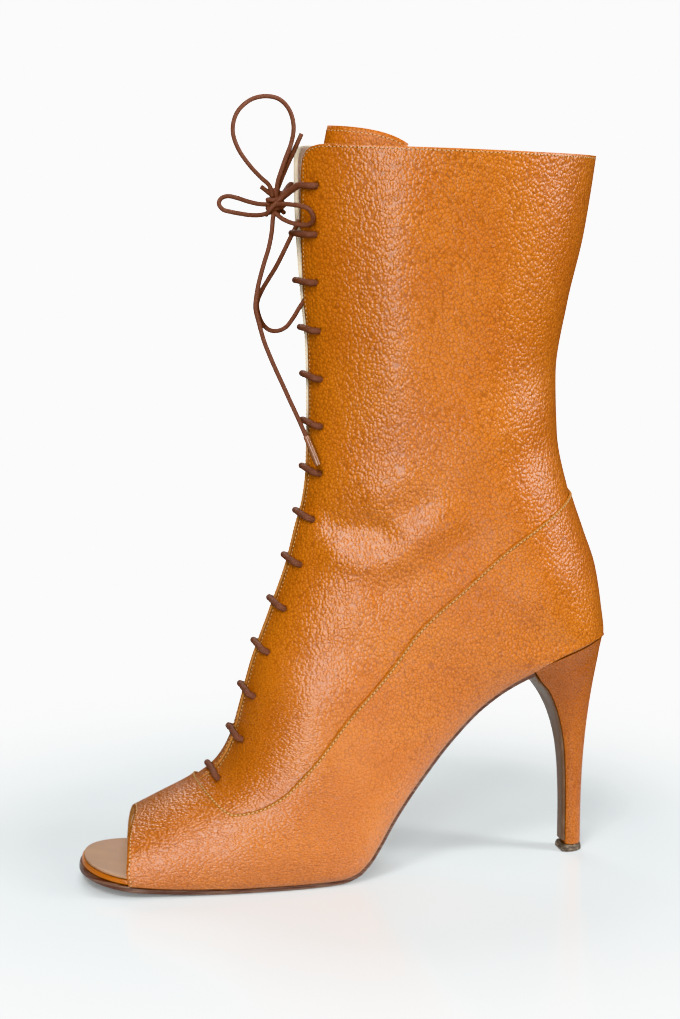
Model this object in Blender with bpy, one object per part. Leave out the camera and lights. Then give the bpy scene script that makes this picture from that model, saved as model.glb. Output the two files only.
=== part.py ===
"""Peep-toe lace-up boot for the left foot, on a covered stiletto heel.

Sizes are in millimetres and become metres where meshes are made. The toe points along -X, the outer
(lateral) side faces -Y, the inner (medial) side faces +Y, and the boot stands on the plane Z = 0.
"""

import functools
import math
from collections import namedtuple

import bmesh
import bpy
import numpy as np
from mathutils import Vector

MM = 0.001

# Driving dimensions
GAP = 0.3
FEATHER_GAP = 0.55
WALL = 1.9
PANEL_RISE = 0.9
SOLE_THICKNESS = 2.5
SHANK_THICKNESS = 2.1
FLAP_THICKNESS = 1.3
BOARD_THICKNESS = 1.9
SOCK_THICKNESS = 1.0
TOP_PIECE_HEIGHT = 3.0
TOP_PIECE_FLARE = 0.5
LACE_DIAMETER = 2.1
LACE_HOLE_DIAMETER = 3.2
LACE_HOLE_INSET = 9.0
LACE_ROWS = 14
LACE_FIRST = 8.0
LACE_LAST = 16.5
COLLAR_CORNER = 13.0
TONGUE_THICKNESS = 1.6

# The plan origin is the middle of the boot's box, this far from the heel's own axis.
ORIGIN_X = 0.35
ORIGIN_Y = 3.68

# Bed: the line down the middle of the foot that the outsole and the heel seat carry
Bed = namedtuple("Bed", "x z cup")
BED = [
    Bed(-113.0, 7.6, 0.0),
    Bed(-104.0, 6.1, 0.0),
    Bed(-94.0, 4.8, 0.0),
    Bed(-82.0, 3.7, 0.0),
    Bed(-66.0, 2.8, 0.0),
    Bed(-55.0, 2.5, 0.0),
    Bed(-8.0, 2.5, 0.0),
    Bed(-1.5, 3.6, 0.0),
    Bed(4.5, 7.8, 0.0),
    Bed(9.1, 13.6, 0.0),
    Bed(16.1, 24.4, 0.0),
    Bed(27.7, 39.7, 0.0),
    Bed(40.7, 55.7, 0.0),
    Bed(55.8, 70.2, 0.5),
    Bed(72.5, 80.6, 1.5),
    Bed(82.0, 84.2, 3.0),
    Bed(92.0, 87.3, 4.0),
    Bed(103.0, 91.0, 3.5),
    Bed(111.9, 95.0, 0.0),
]

# Edge: half widths of the sole on its lateral and medial side
Edge = namedtuple("Edge", "x lateral medial")
EDGES = [
    Edge(-84.0, 26.5, 34.5),
    Edge(-66.0, 28.3, 37.8),
    Edge(-46.0, 29.6, 39.4),
    Edge(-30.0, 30.0, 39.2),
    Edge(-14.0, 28.8, 35.5),
    Edge(0.0, 25.0, 29.5),
    Edge(15.0, 20.0, 22.0),
    Edge(30.0, 17.0, 17.5),
    Edge(45.0, 16.5, 16.2),
    Edge(60.0, 17.8, 17.6),
    Edge(76.0, 22.0, 22.0),
    Edge(88.0, 24.8, 24.8),
]
TOE_TIP_X = -111.0
TOE_TIP_Y = 2.5
TOE_ROUND = 2.15
HEEL_END_X = 111.9
BREAST_X = 76.3

# Foot sections of the upper, from the peep toe to the back of the heel seat: the front point on the ridge,
# the station on the bed, the widest half widths, where they lie from ridge to bed, and the shape exponents
Foot = namedtuple("Foot", "name front_x front_z station lateral medial widest ridge_y crown tuck")
FOOT = [
    Foot("toe_edge", -93.0, 24.1, -100.0, 26.0, 30.8, 0.70, 2.6, 1.95, 2.0),
    Foot("toe_box", -76.0, 32.6, -80.0, 29.8, 35.8, 0.70, 2.6, 1.92, 2.0),
    Foot("throat", -62.0, 39.6, -59.0, 32.0, 39.6, 0.70, 2.6, 1.92, 2.0),
    Foot("vamp", -53.0, 46.6, -38.0, 33.8, 41.6, 0.70, 2.6, 1.95, 2.0),
    Foot("ball", -47.0, 57.6, -14.0, 34.2, 40.6, 0.68, 3.0, 2.0, 2.0),
    Foot("joint", -43.6, 71.0, 2.0, 32.4, 36.4, 0.63, 2.4, 2.0, 2.0),
    Foot("waist", -39.4, 88.0, 16.0, 30.2, 32.0, 0.56, 1.6, 2.0, 2.0),
    Foot("instep", -31.6, 110.0, 35.0, 28.6, 29.2, 0.51, 0.8, 2.0, 2.0),
    Foot("arch_back", -24.6, 130.0, 57.0, 28.4, 28.6, 0.51, 0.2, 2.0, 2.0),
    Foot("seat_front", -20.6, 146.0, 77.0, 29.0, 29.0, 0.53, 0.0, 2.0, 2.15),
    Foot("seat_middle", -18.0, 155.0, 92.5, 29.5, 29.5, 0.51, 0.0, 2.0, 2.2),
    Foot("seat_back", -16.8, 162.0, 103.6, 29.75, 29.75, 0.48, 0.0, 2.0, 2.2),
    Foot("heel_back", -16.2, 168.0, 111.7, 30.0, 30.0, 0.455, 0.0, 2.0, 2.2),
]

# Shaft sections, each a closed oval from the lacing to the back seam
Shaft = namedtuple("Shaft", "name front_x front_z back_x back_z half_width widest tuck")
SHAFT = [
    Shaft("counter_low", -15.9, 178.0, 110.2, 108.5, 30.3, 0.47, 2.2),
    Shaft("counter_middle", -15.7, 189.0, 107.4, 125.0, 30.6, 0.49, 2.2),
    Shaft("counter_top", -15.7, 199.0, 101.9, 140.5, 30.9, 0.515, 2.2),
    Shaft("seam_back", -15.8, 210.0, 96.0, 157.0, 31.0, 0.535, 2.15),
    Shaft("ankle", -16.2, 222.0, 90.6, 182.0, 31.4, 0.545, 2.05),
    Shaft("shaft_low", -17.6, 236.0, 89.8, 207.0, 32.0, 0.54, 2.0),
    Shaft("shaft_middle", -19.0, 252.0, 94.4, 236.0, 33.2, 0.52, 2.0),
    Shaft("shaft_high", -20.4, 272.0, 101.0, 264.0, 34.6, 0.50, 2.0),
    Shaft("collar", -21.2, 300.6, 105.9, 296.0, 36.0, 0.50, 2.0),
    Shaft("above_collar", -21.4, 312.6, 107.3, 308.0, 36.4, 0.50, 2.0),
]
# Plan of the counter behind the arch: an ellipse at each height, from its widest line to the back seam
Counter = namedtuple("Counter", "z half_width centre_x back_x")
COUNTER = [
    Counter(95.6, 24.8, 88.0, 111.9),
    Counter(101.0, 26.6, 84.0, 111.3),
    Counter(108.5, 28.2, 79.0, 110.2),
    Counter(117.0, 29.1, 74.0, 109.0),
    Counter(125.0, 29.6, 70.0, 107.4),
    Counter(133.0, 29.9, 66.5, 104.9),
    Counter(140.5, 30.2, 64.0, 101.9),
    Counter(157.0, 30.6, 58.0, 96.0),
    Counter(182.0, 31.3, 50.0, 90.6),
]
CounterShare = namedtuple("CounterShare", "t share")
COUNTER_SHARE = [
    CounterShare(0.0, 0.0),
    CounterShare(8.6, 0.0),
    CounterShare(10.4, 1.0),
    CounterShare(14.5, 1.0),
    CounterShare(17.0, 0.0),
    CounterShare(22.0, 0.0),
]
T_THROAT = 2.0
T_HEEL = float(len(FOOT) - 1)
T_COLLAR = float(len(FOOT) + len(SHAFT) - 2)

# Edge of the open toe, in rows behind the first section, by the share of the way from ridge to bed
ToeEdge = namedtuple("ToeEdge", "share lateral medial")
TOE_EDGE = [
    ToeEdge(0.0, 0.28, 0.28),
    ToeEdge(0.25, 0.13, 0.38),
    ToeEdge(0.5, 0.05, 0.47),
    ToeEdge(0.8, 0.10, 0.56),
    ToeEdge(1.0, 0.28, 0.62),
]
TOE_BLEND = 1.5

# Half gap of the throat, from its lower end to the collar
Throat = namedtuple("Throat", "t half_gap")
THROAT = [
    Throat(2.0, 0.0),
    Throat(2.3, 0.9),
    Throat(4.0, 1.6),
    Throat(14.0, 2.0),
    Throat(18.0, 2.6),
    Throat(19.4, 5.0),
    Throat(21.0, 8.0),
    Throat(22.0, 8.4),
]

# Side view of the seam where the lower panel overlaps the shaft, from the throat to the back
Seam = namedtuple("Seam", "x z")
SEAM = [
    Seam(-64.0, 36.6),
    Seam(-60.4, 33.6),
    Seam(-53.5, 32.2),
    Seam(-45.0, 33.4),
    Seam(-33.5, 38.6),
    Seam(-21.0, 50.4),
    Seam(-5.0, 70.2),
    Seam(11.0, 88.0),
    Seam(25.0, 106.0),
    Seam(43.0, 121.8),
    Seam(64.0, 139.6),
    Seam(84.0, 151.6),
    Seam(99.5, 160.0),
]

# Heel block sections from the top piece up, below the seat: breast point, back point and half width
Heel = namedtuple("Heel", "breast_x breast_z back_x back_z half_width")
HEEL = [
    Heel(97.0, 3.3, 104.6, 3.3, 5.8),
    Heel(97.0, 17.0, 104.6, 18.0, 5.7),
    Heel(96.6, 33.0, 105.0, 35.0, 6.2),
    Heel(95.4, 47.0, 106.0, 50.0, 7.8),
    Heel(93.0, 58.0, 107.4, 63.0, 10.0),
    Heel(89.8, 66.5, 109.0, 74.5, 13.0),
    Heel(85.6, 73.6, 110.7, 85.5, 17.6),
    Heel(81.6, 78.0, 111.4, 90.4, 20.4),
]
HEEL_LEVELS = 15
BREAST_SHARE = 0.72
CHEEK_SHARE = 0.45

COLOURS = {
    "leather": (0.55, 0.20, 0.035),
    "sole": (0.13, 0.075, 0.05),
    "sock": (0.30, 0.17, 0.11),
    "rubber": (0.09, 0.07, 0.055),
    "lace": (0.16, 0.055, 0.035),
}


def smooth(xs, ys, x):
    """Interpolate a table with a monotone cubic, so that flat runs stay flat."""
    xs = np.asarray(xs, dtype=float)
    ys = np.asarray(ys, dtype=float)
    x = np.clip(np.asarray(x, dtype=float), xs[0], xs[-1])
    step = np.diff(xs)
    rise = np.diff(ys) / step
    slope = np.zeros_like(ys)
    slope[0] = rise[0]
    slope[-1] = rise[-1]
    for k in range(1, len(xs) - 1):
        if rise[k - 1] * rise[k] > 0.0:
            before = 2.0 * step[k] + step[k - 1]
            after = step[k] + 2.0 * step[k - 1]
            slope[k] = (before + after) / (before / rise[k - 1] + after / rise[k])
    k = np.clip(np.searchsorted(xs, x, side="right") - 1, 0, len(xs) - 2)
    u = (x - xs[k]) / step[k]
    start = ys[k] * (1.0 + 2.0 * u) * (1.0 - u) ** 2 + slope[k] * step[k] * u * (1.0 - u) ** 2
    end = ys[k + 1] * u * u * (3.0 - 2.0 * u) + slope[k + 1] * step[k] * u * u * (u - 1.0)
    return start + end


def column(rows, name):
    """Return one named column of a table."""
    return [getattr(row, name) for row in rows]


def bed_height(x):
    """Return the height of the bed's middle line at a station."""
    return float(smooth(column(BED, "x"), column(BED, "z"), x))


def bed_cup(x):
    """Return how far the bed's edge rises above its middle."""
    return float(smooth(column(BED, "x"), column(BED, "cup"), x))


def bed_normal(x):
    """Return the upward normal of the bed in the side view."""
    reach = 0.4
    rise = bed_height(x + reach) - bed_height(x - reach)
    length = math.hypot(rise, 2.0 * reach)
    return -rise / length, 2.0 * reach / length


def edge(x, side):
    """Return the sole's edge at a station: side -1 is lateral, side +1 is medial."""
    name = "lateral" if side < 0 else "medial"
    values = column(EDGES, name)
    stations = column(EDGES, "x")
    if x < stations[0]:
        run = min((stations[0] - x) / (stations[0] - TOE_TIP_X), 1.0)
        full = side * values[0] - TOE_TIP_Y
        return TOE_TIP_Y + full * (1.0 - run ** TOE_ROUND) ** (1.0 / TOE_ROUND)
    if x > stations[-1]:
        run = min((x - stations[-1]) / (HEEL_END_X - stations[-1]), 1.0)
        return side * values[-1] * math.sqrt(1.0 - run * run)
    return side * float(smooth(stations, values, x))


def bed_point(x, y, up):
    """Return a point above the bed, counted along the bed's normal."""
    half = max(abs(edge(x, -1.0)), abs(edge(x, 1.0)), 1.0)
    normal_x, normal_z = bed_normal(x)
    lift = bed_cup(x) * min(abs(y) / half, 1.0) ** 2
    return np.array([x + normal_x * up, y, bed_height(x) + lift + normal_z * up])


ROW_INDEX = list(range(len(FOOT) + len(SHAFT)))
FRONT_X = column(FOOT, "front_x") + column(SHAFT, "front_x")
FRONT_Z = column(FOOT, "front_z") + column(SHAFT, "front_z")
BASE_X = column(FOOT, "station") + column(SHAFT, "back_x")
SEAT_Z = bed_height(FOOT[-1].station) + FEATHER_GAP
BACK_Z = [SEAT_Z] + column(SHAFT, "back_z")
BACK_INDEX = ROW_INDEX[len(FOOT) - 1:]
LATERAL = column(FOOT, "lateral") + column(SHAFT, "half_width")
MEDIAL = column(FOOT, "medial") + column(SHAFT, "half_width")
WIDEST = column(FOOT, "widest") + column(SHAFT, "widest")
RIDGE_Y = column(FOOT, "ridge_y") + [0.0] * len(SHAFT)
CROWN = column(FOOT, "crown") + [2.0] * len(SHAFT)
TUCK = column(FOOT, "tuck") + column(SHAFT, "tuck")
CURVE_STEPS = 48


def row_value(values, t):
    """Interpolate a column of the section tables at row t."""
    return float(smooth(ROW_INDEX, values, t))


@functools.lru_cache(maxsize=None)
def half_section(t, side):
    """Return one half of a section as a polyline, from the ridge to the bed or the back seam."""
    front = np.array([row_value(FRONT_X, t), row_value(FRONT_Z, t)])
    base_x = row_value(BASE_X, t)
    if t < T_HEEL:
        foot = abs(edge(base_x, side))
        normal_x, normal_z = bed_normal(base_x)
        base = np.array([base_x + normal_x * FEATHER_GAP, bed_height(base_x) + bed_cup(base_x)])
        base[1] += normal_z * FEATHER_GAP
    else:
        foot = 0.0
        base = np.array([base_x, float(smooth(BACK_INDEX, BACK_Z, t))])
    width = row_value(LATERAL if side < 0 else MEDIAL, t)
    widest = row_value(WIDEST, t)
    crown = 2.0 / row_value(CROWN, t)
    tuck = 2.0 / row_value(TUCK, t)
    angle = np.linspace(0.0, math.pi / 2.0, CURVE_STEPS)
    upper_s = widest * (1.0 - np.cos(angle).clip(0.0) ** crown)
    upper_q = width * np.sin(angle) ** crown
    lower_s = widest + (1.0 - widest) * np.sin(angle[1:]) ** tuck
    lower_q = foot + (width - foot) * np.cos(angle[1:]).clip(0.0) ** tuck
    counter = float(smooth(column(COUNTER_SHARE, "t"), column(COUNTER_SHARE, "share"), t))
    if counter > 0.0:
        lower_x = front[0] + (base[0] - front[0]) * lower_s
        lower_z = front[1] + (base[1] - front[1]) * lower_s
        lower_q = lower_q + counter * (counter_width(lower_x, lower_z, t >= T_HEEL) - lower_q)
    s = np.concatenate([upper_s, lower_s])
    q = np.concatenate([upper_q, lower_q])
    y = row_value(RIDGE_Y, t) * (1.0 - s) + side * q
    x = front[0] + (base[0] - front[0]) * s
    z = front[1] + (base[1] - front[1]) * s
    return np.stack([x, y, z], axis=1)


def counter_width(x, z, closed):
    """Return the counter's half width along a section; a closed section ends on the back seam."""
    heights = column(COUNTER, "z")
    width = smooth(heights, column(COUNTER, "half_width"), z)
    centre = smooth(heights, column(COUNTER, "centre_x"), z)
    depth = smooth(heights, column(COUNTER, "back_x"), z) - centre
    if closed:
        depth = depth * (x[-1] - centre[-1]) / depth[-1]
    share = np.clip((x - centre) / depth, 0.0, 1.0)
    return width * np.sqrt(1.0 - share ** 2)


def arc_lengths(points):
    """Return the running length along a polyline."""
    steps = np.linalg.norm(np.diff(points, axis=0), axis=1)
    return np.concatenate([[0.0], np.cumsum(steps)])


def surface(t, side, distance):
    """Return the point of the upper's shaft surface this far along its section from the ridge."""
    points = half_section(t, side)
    lengths = arc_lengths(points)
    return np.array([np.interp(distance, lengths, points[:, k]) for k in range(3)])


def section_length(t, side):
    """Return the length of a half section."""
    return arc_lengths(half_section(t, side))[-1]


def outward(t, side, distance):
    """Return the outward normal of the upper's surface."""
    reach_t = 0.04
    reach_d = 0.8
    low = max(t - reach_t, 0.0)
    high = min(t + reach_t, float(ROW_INDEX[-1]))
    end = section_length(t, side)
    share = distance / end
    along = surface(high, side, share * section_length(high, side))
    along = along - surface(low, side, share * section_length(low, side))
    if distance < reach_d:
        across = surface(t, side, reach_d) - surface(t, -side, reach_d)
    elif distance > end - reach_d and t >= T_HEEL:
        across = surface(t, -side, end - reach_d) - surface(t, side, end - reach_d)
    else:
        across = surface(t, side, distance + reach_d) - surface(t, side, distance - reach_d)
    normal = np.cross(across, along) * -side
    return normal / np.linalg.norm(normal)


def near_upper(t, side, distance, off):
    """Return a point off the upper's shaft surface; positive is outside the boot."""
    return surface(t, side, distance) + outward(t, side, distance) * off


def half_gap(t):
    """Return half the width of the throat opening at a row."""
    if t <= T_THROAT:
        return 0.0
    return float(smooth(column(THROAT, "t"), column(THROAT, "half_gap"), t))


def ridge_table():
    """Return rows and running lengths along the lacing edge, from the throat to the collar."""
    rows = np.linspace(T_THROAT, T_COLLAR, 160)
    points = np.array([surface(t, -1.0, half_gap(t)) for t in rows])
    return rows, arc_lengths(points)


def lace_row_positions():
    """Return the section row of every pair of lace holes, from the throat up."""
    rows, lengths = ridge_table()
    wanted = np.linspace(LACE_FIRST, lengths[-1] - LACE_LAST, LACE_ROWS)
    return [float(np.interp(length, lengths, rows)) for length in wanted]


def make_material(name):
    """Return the plain material of one slot."""
    material = bpy.data.materials.get(name)
    if material is None:
        material = bpy.data.materials.new(name)
        material.use_nodes = True
        shader = material.node_tree.nodes["Principled BSDF"]
        shader.inputs["Base Color"].default_value = (*COLOURS[name], 1.0)
        shader.inputs["Roughness"].default_value = 0.55
    return material


def placed(point):
    """Turn a point of the boot's own axes into metres about the plan origin."""
    return Vector(((point[0] - ORIGIN_X) * MM, (point[1] - ORIGIN_Y) * MM, point[2] * MM))


def make_object(name, points, faces, slot):
    """Make one mesh object with its origin at the bottom centre of its box."""
    spots = [placed(point) for point in points]
    low = Vector([min(spot[k] for spot in spots) for k in range(3)])
    high = Vector([max(spot[k] for spot in spots) for k in range(3)])
    anchor = Vector(((low.x + high.x) / 2.0, (low.y + high.y) / 2.0, low.z))
    mesh = bpy.data.meshes.new(name)
    mesh.from_pydata([spot - anchor for spot in spots], [], faces)
    mesh.materials.append(make_material(slot))
    item = bpy.data.objects.new(name, mesh)
    item.location = anchor
    bpy.context.scene.collection.objects.link(item)
    return item


def face_outward(item):
    """Turn all faces of a closed mesh to the outside."""
    shape = bmesh.new()
    shape.from_mesh(item.data)
    bmesh.ops.recalc_face_normals(shape, faces=shape.faces)
    shape.to_mesh(item.data)
    shape.free()


def make_slab(name, upper_rows, lower_rows, slot):
    """Make a closed slab between two grids of points."""
    rows = len(upper_rows)
    columns = len(upper_rows[0])
    points = [point for row in upper_rows for point in row]
    points += [point for row in lower_rows for point in row]
    shift = rows * columns
    faces = []
    for i in range(rows - 1):
        for j in range(columns - 1):
            a = i * columns + j
            b = a + columns
            faces.append((a, a + 1, b + 1, b))
            faces.append((shift + a, shift + b, shift + b + 1, shift + a + 1))
    rim = list(range(columns))
    rim += [i * columns + columns - 1 for i in range(1, rows)]
    rim += [(rows - 1) * columns + j for j in range(columns - 2, -1, -1)]
    rim += [i * columns for i in range(rows - 2, 0, -1)]
    for k, a in enumerate(rim):
        b = rim[(k + 1) % len(rim)]
        faces.append((a, shift + a, shift + b, b))
    item = make_object(name, points, faces, slot)
    face_outward(item)
    return item


def make_loft(name, rings, slot):
    """Make a closed solid through rings of equal count, with flat ends."""
    count = len(rings[0])
    points = [point for ring in rings for point in ring]
    faces = []
    for i in range(len(rings) - 1):
        for j in range(count):
            a = i * count + j
            b = i * count + (j + 1) % count
            faces.append((a, b, b + count, a + count))
    last = (len(rings) - 1) * count
    faces.append(tuple(reversed(range(count))))
    faces.append(tuple(range(last, last + count)))
    item = make_object(name, points, faces, slot)
    face_outward(item)
    return item


def make_tube(name, path, diameter, sides, slot):
    """Make a round bar along a path."""
    path = [np.asarray(point, dtype=float) for point in path]
    rings = []
    guide = np.array([0.0, 0.0, 1.0])
    for k, point in enumerate(path):
        heading = path[min(k + 1, len(path) - 1)] - path[max(k - 1, 0)]
        heading = heading / np.linalg.norm(heading)
        guide = guide - heading * np.dot(guide, heading)
        guide = guide / np.linalg.norm(guide)
        other = np.cross(heading, guide)
        ring = []
        for j in range(sides):
            turn = 2.0 * math.pi * j / sides
            spoke = math.cos(turn) * guide + math.sin(turn) * other
            ring.append(point + spoke * diameter / 2.0)
        rings.append(ring)
    return make_loft(name, rings, slot)


def make_cord(name, path, diameter, slot):
    """Make a free run of lace as a beveled polyline."""
    spots = [placed(point) for point in path]
    curve = bpy.data.curves.new(name, "CURVE")
    curve.dimensions = "3D"
    curve.bevel_depth = diameter / 2.0 * MM
    curve.bevel_resolution = 2
    curve.use_fill_caps = True
    curve.materials.append(make_material(slot))
    spline = curve.splines.new("POLY")
    spline.points.add(len(spots) - 1)
    for point, spot in zip(spline.points, spots):
        point.co = (*(spot - spots[0]), 1.0)
    item = bpy.data.objects.new(name, curve)
    item.location = spots[0]
    bpy.context.scene.collection.objects.link(item)
    return item


def add_boolean(item, other, operation):
    """Add one exact Boolean step and hide its cutter."""
    step = item.modifiers.new(operation.lower(), "BOOLEAN")
    step.operation = operation
    step.solver = "EXACT"
    step.object = other
    other.hide_render = True
    other.display_type = "WIRE"


# Rows of the upper's grid. The vamp ends in a step at the throat and the panel runs out at the back.
UPPER_ROWS = [
    0.0, 0.5, 1.0, 1.5, 1.97, 2.0, 2.4, 3.0, 3.5, 4.0, 5.0, 6.0, 7.0, 8.0, 9.0, 10.0, 10.6, 11.1, 11.5, 11.8, 12.0,
    12.5, 13.0, 13.7, 14.4, 15.0, 15.6, 15.9, 16.06, 16.5, 17.2, 18.0, 19.0, 20.0, 20.6, 21.0,
]
T_PANEL_END = 16.06
SHAFT_COLUMNS = 10
PANEL_COLUMNS = 10
STEP_WIDTH = 0.3


def corner_dip(t, distance):
    """Return how many rows the rounded collar corner drops at this distance from the lacing edge."""
    if t <= T_COLLAR - 1.0 or distance >= COLLAR_CORNER:
        return 0.0
    depth = COLLAR_CORNER - math.sqrt(COLLAR_CORNER ** 2 - (COLLAR_CORNER - distance) ** 2)
    rise = FRONT_Z[int(T_COLLAR)] - FRONT_Z[int(T_COLLAR) - 1]
    return depth / rise * (t - T_COLLAR + 1.0) ** 2


def toe_row(t, side, share):
    """Return the row that carries a point of the upper's grid, drawn back to the slanted toe edge."""
    name = "lateral" if side < 0 else "medial"
    back = float(smooth(column(TOE_EDGE, "share"), column(TOE_EDGE, name), share))
    return t + back * max(1.0 - t / TOE_BLEND, 0.0)


def seam_distance(t, side):
    """Return how far along a section the lower panel's seam lies from the ridge."""
    points = half_section(max(t, T_THROAT), side)
    lengths = arc_lengths(points)
    above = points[:, 2] - smooth(column(SEAM, "x"), column(SEAM, "z"), points[:, 0])
    if t >= T_PANEL_END or above.min() >= 0.0:
        return section_length(t, side)
    after = int(np.argmax(above < 0.0))
    share = above[after - 1] / (above[after - 1] - above[after])
    return float(lengths[after - 1] + share * (lengths[after] - lengths[after - 1]))


def spread(count):
    """Return shares from 0 to 1 that crowd a little at both ends."""
    even = np.linspace(0.0, 1.0, count + 1)
    return 0.5 * even + 0.25 * (1.0 - np.cos(math.pi * even))


def upper_columns(t, side):
    """Return distances from the ridge and rises of the outer surface for one row of the upper."""
    start = half_gap(t)
    end = section_length(t, side)
    seam = seam_distance(t, side)
    columns = [(start + (seam - start) * share, 0.0) for share in spread(SHAFT_COLUMNS)]
    if t < T_PANEL_END:
        first = seam + STEP_WIDTH
        columns += [(first + (end - first) * share, PANEL_RISE) for share in spread(PANEL_COLUMNS)]
        if t <= T_HEEL:
            columns[-1] = (end, 0.0)
        if t < T_THROAT:
            columns = [(distance, PANEL_RISE) for distance, _ in columns[:-1]] + [columns[-1]]
    return columns


def make_upper_wall():
    """Make the hollow wall of the upper, with its lower panel as a step in the outer surface."""
    outer = []
    inner = []
    index = {}
    for side in (-1.0, 1.0):
        for i, t in enumerate(UPPER_ROWS):
            columns = upper_columns(t, side)
            for j, (distance, rise) in enumerate(columns):
                at_ridge = j == 0 and t <= T_THROAT
                at_back = j == len(columns) - 1 and t >= T_HEEL
                if side > 0.0 and (at_ridge or at_back):
                    index[side, i, j] = index[-1.0, i, j]
                    continue
                index[side, i, j] = len(outer)
                share = distance / section_length(t, side)
                row = toe_row(t, side, share) - corner_dip(t, distance - half_gap(t))
                if t < TOE_BLEND:
                    distance = share * section_length(row, side)
                outer.append(near_upper(row, side, distance, rise))
                inner.append(near_upper(row, side, distance, -WALL))
            for j in range(len(columns), SHAFT_COLUMNS + PANEL_COLUMNS + 2):
                index[side, i, j] = index[side, i, len(columns) - 1]
    shift = len(outer)
    faces = []
    border = {}
    for side in (-1.0, 1.0):
        for i in range(len(UPPER_ROWS) - 1):
            for j in range(SHAFT_COLUMNS + PANEL_COLUMNS + 1):
                corners = [index[side, i, j], index[side, i, j + 1]]
                corners += [index[side, i + 1, j + 1], index[side, i + 1, j]]
                if side > 0.0:
                    corners.reverse()
                corners = list(dict.fromkeys(corners))
                if len(corners) < 3:
                    continue
                faces.append(tuple(corners))
                faces.append(tuple(corner + shift for corner in reversed(corners)))
                for a, b in zip(corners, corners[1:] + corners[:1]):
                    if border.pop((b, a), None) is None:
                        border[a, b] = True
    for a, b in border:
        faces.append((b, a, a + shift, b + shift))
    item = make_object("upper", outer + inner, faces, "leather")
    face_outward(item)
    return item


def make_hole_cutters():
    """Make the pegs that punch the lace holes, joined as one cutter."""
    sides = 6
    reach = 5.0
    points = []
    faces = []
    for t in lace_row_positions():
        for side in (-1.0, 1.0):
            distance = half_gap(t) + LACE_HOLE_INSET
            centre = surface(t, side, distance)
            axis = outward(t, side, distance)
            first = np.cross(axis, (0.0, 0.0, 1.0))
            first = first / np.linalg.norm(first)
            second = np.cross(axis, first)
            start = len(points)
            for level in (-reach, reach):
                for k in range(sides):
                    turn = 2.0 * math.pi * (k + 0.5) / sides
                    spoke = math.cos(turn) * first + math.sin(turn) * second
                    points.append(centre + axis * level + spoke * LACE_HOLE_DIAMETER / 2.0)
            faces.append(tuple(range(start, start + sides)))
            faces.append(tuple(range(start + 2 * sides - 1, start + sides - 1, -1)))
            for k in range(sides):
                after = (k + 1) % sides
                faces.append((start + k, start + k + sides, start + after + sides, start + after))
    item = make_object("hole_pegs", points, faces, "leather")
    face_outward(item)
    return item


def make_upper():
    """Make the hollow upper and punch its lace holes."""
    add_boolean(make_upper_wall(), make_hole_cutters(), "DIFFERENCE")


def inset_edge(x, side, inset):
    """Return the sole's edge drawn in by an inset, also at the round toe and heel."""
    first = EDGES[0].x
    last = EDGES[-1].x
    if x < first:
        x = first - (first - x) * (first - TOE_TIP_X) / (first - TOE_TIP_X - inset)
        full = abs(edge(first, side) - TOE_TIP_Y)
        return TOE_TIP_Y + (edge(x, side) - TOE_TIP_Y) * (1.0 - inset / full)
    if x > last:
        x = last + (x - last) * (HEEL_END_X - last) / (HEEL_END_X - last - inset)
        return edge(x, side) * (1.0 - inset / abs(edge(last, side)))
    return edge(x, side) - side * inset


# Stations along the bed between the two round ends, and shares of a quarter turn over each round end
MIDDLE_STATIONS = [
    -72.0, -60.0, -50.0, -38.0, -26.0, -14.0, -7.0, -3.0, 1.0, 4.5, 8.0, 11.5, 15.0, 20.0,
    26.0, 33.0, 40.0, 48.0, 57.0, 66.0, 74.0, 81.0,
]
TOE_TURNS = np.linspace(0.04, 1.0, 9) * math.pi / 2.0
HEEL_TURNS = np.linspace(0.0, 0.94, 6) * math.pi / 2.0


def round_stations(start, end):
    """Return stations from the toe to the heel, close together at both round ends."""
    toe = EDGES[0].x
    heel = EDGES[-1].x
    stations = [toe - (toe - start) * math.cos(angle) for angle in TOE_TURNS]
    stations += MIDDLE_STATIONS
    stations += [heel + (end - heel) * math.sin(angle) for angle in HEEL_TURNS]
    return stations


def bed_rows(stations, inset_at, up, columns):
    """Return rows of points over the bed, from the lateral to the medial edge."""
    rows = []
    for x in stations:
        lateral = inset_edge(x, -1.0, inset_at(x, -1.0))
        medial = inset_edge(x, 1.0, inset_at(x, 1.0))
        rows.append([bed_point(x, y, up) for y in np.linspace(lateral, medial, columns)])
    return rows


# Insets of the insole: bare edge in the open toe, inside the wall behind the toe edge
TOE_INSET = 0.6
WALL_INSET = 2.6
SOCK_INSET = 0.7
COVERED_LATERAL = -98.2
COVERED_MEDIAL = -93.8
COVERED_RUN = 2.0


def board_inset(x, side):
    """Return how far the insole board stays inside the sole's edge."""
    covered = COVERED_LATERAL if side < 0 else COVERED_MEDIAL
    share = min(max((x - covered) / COVERED_RUN + 1.0, 0.0), 1.0)
    return TOE_INSET + (WALL_INSET - TOE_INSET) * share


def sock_inset(x, side):
    """Return how far the insole sock stays inside the sole's edge."""
    return board_inset(x, side) + SOCK_INSET


def make_insole():
    """Make the wrapped insole board and the sock that covers it."""
    columns = 5
    ends = (TOE_TIP_X + TOE_INSET, HEEL_END_X - WALL_INSET)
    stations = round_stations(*ends)
    low = GAP
    high = GAP + BOARD_THICKNESS
    upper_rows = bed_rows(stations, board_inset, high, columns)
    make_slab("insole_board", upper_rows, bed_rows(stations, board_inset, low, columns), "leather")
    stations = round_stations(ends[0] + SOCK_INSET, ends[1] - SOCK_INSET)
    low = high + GAP
    high = low + SOCK_THICKNESS
    upper_rows = bed_rows(stations, sock_inset, high, columns)
    make_slab("insole_sock", upper_rows, bed_rows(stations, sock_inset, low, columns), "sock")


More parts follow.
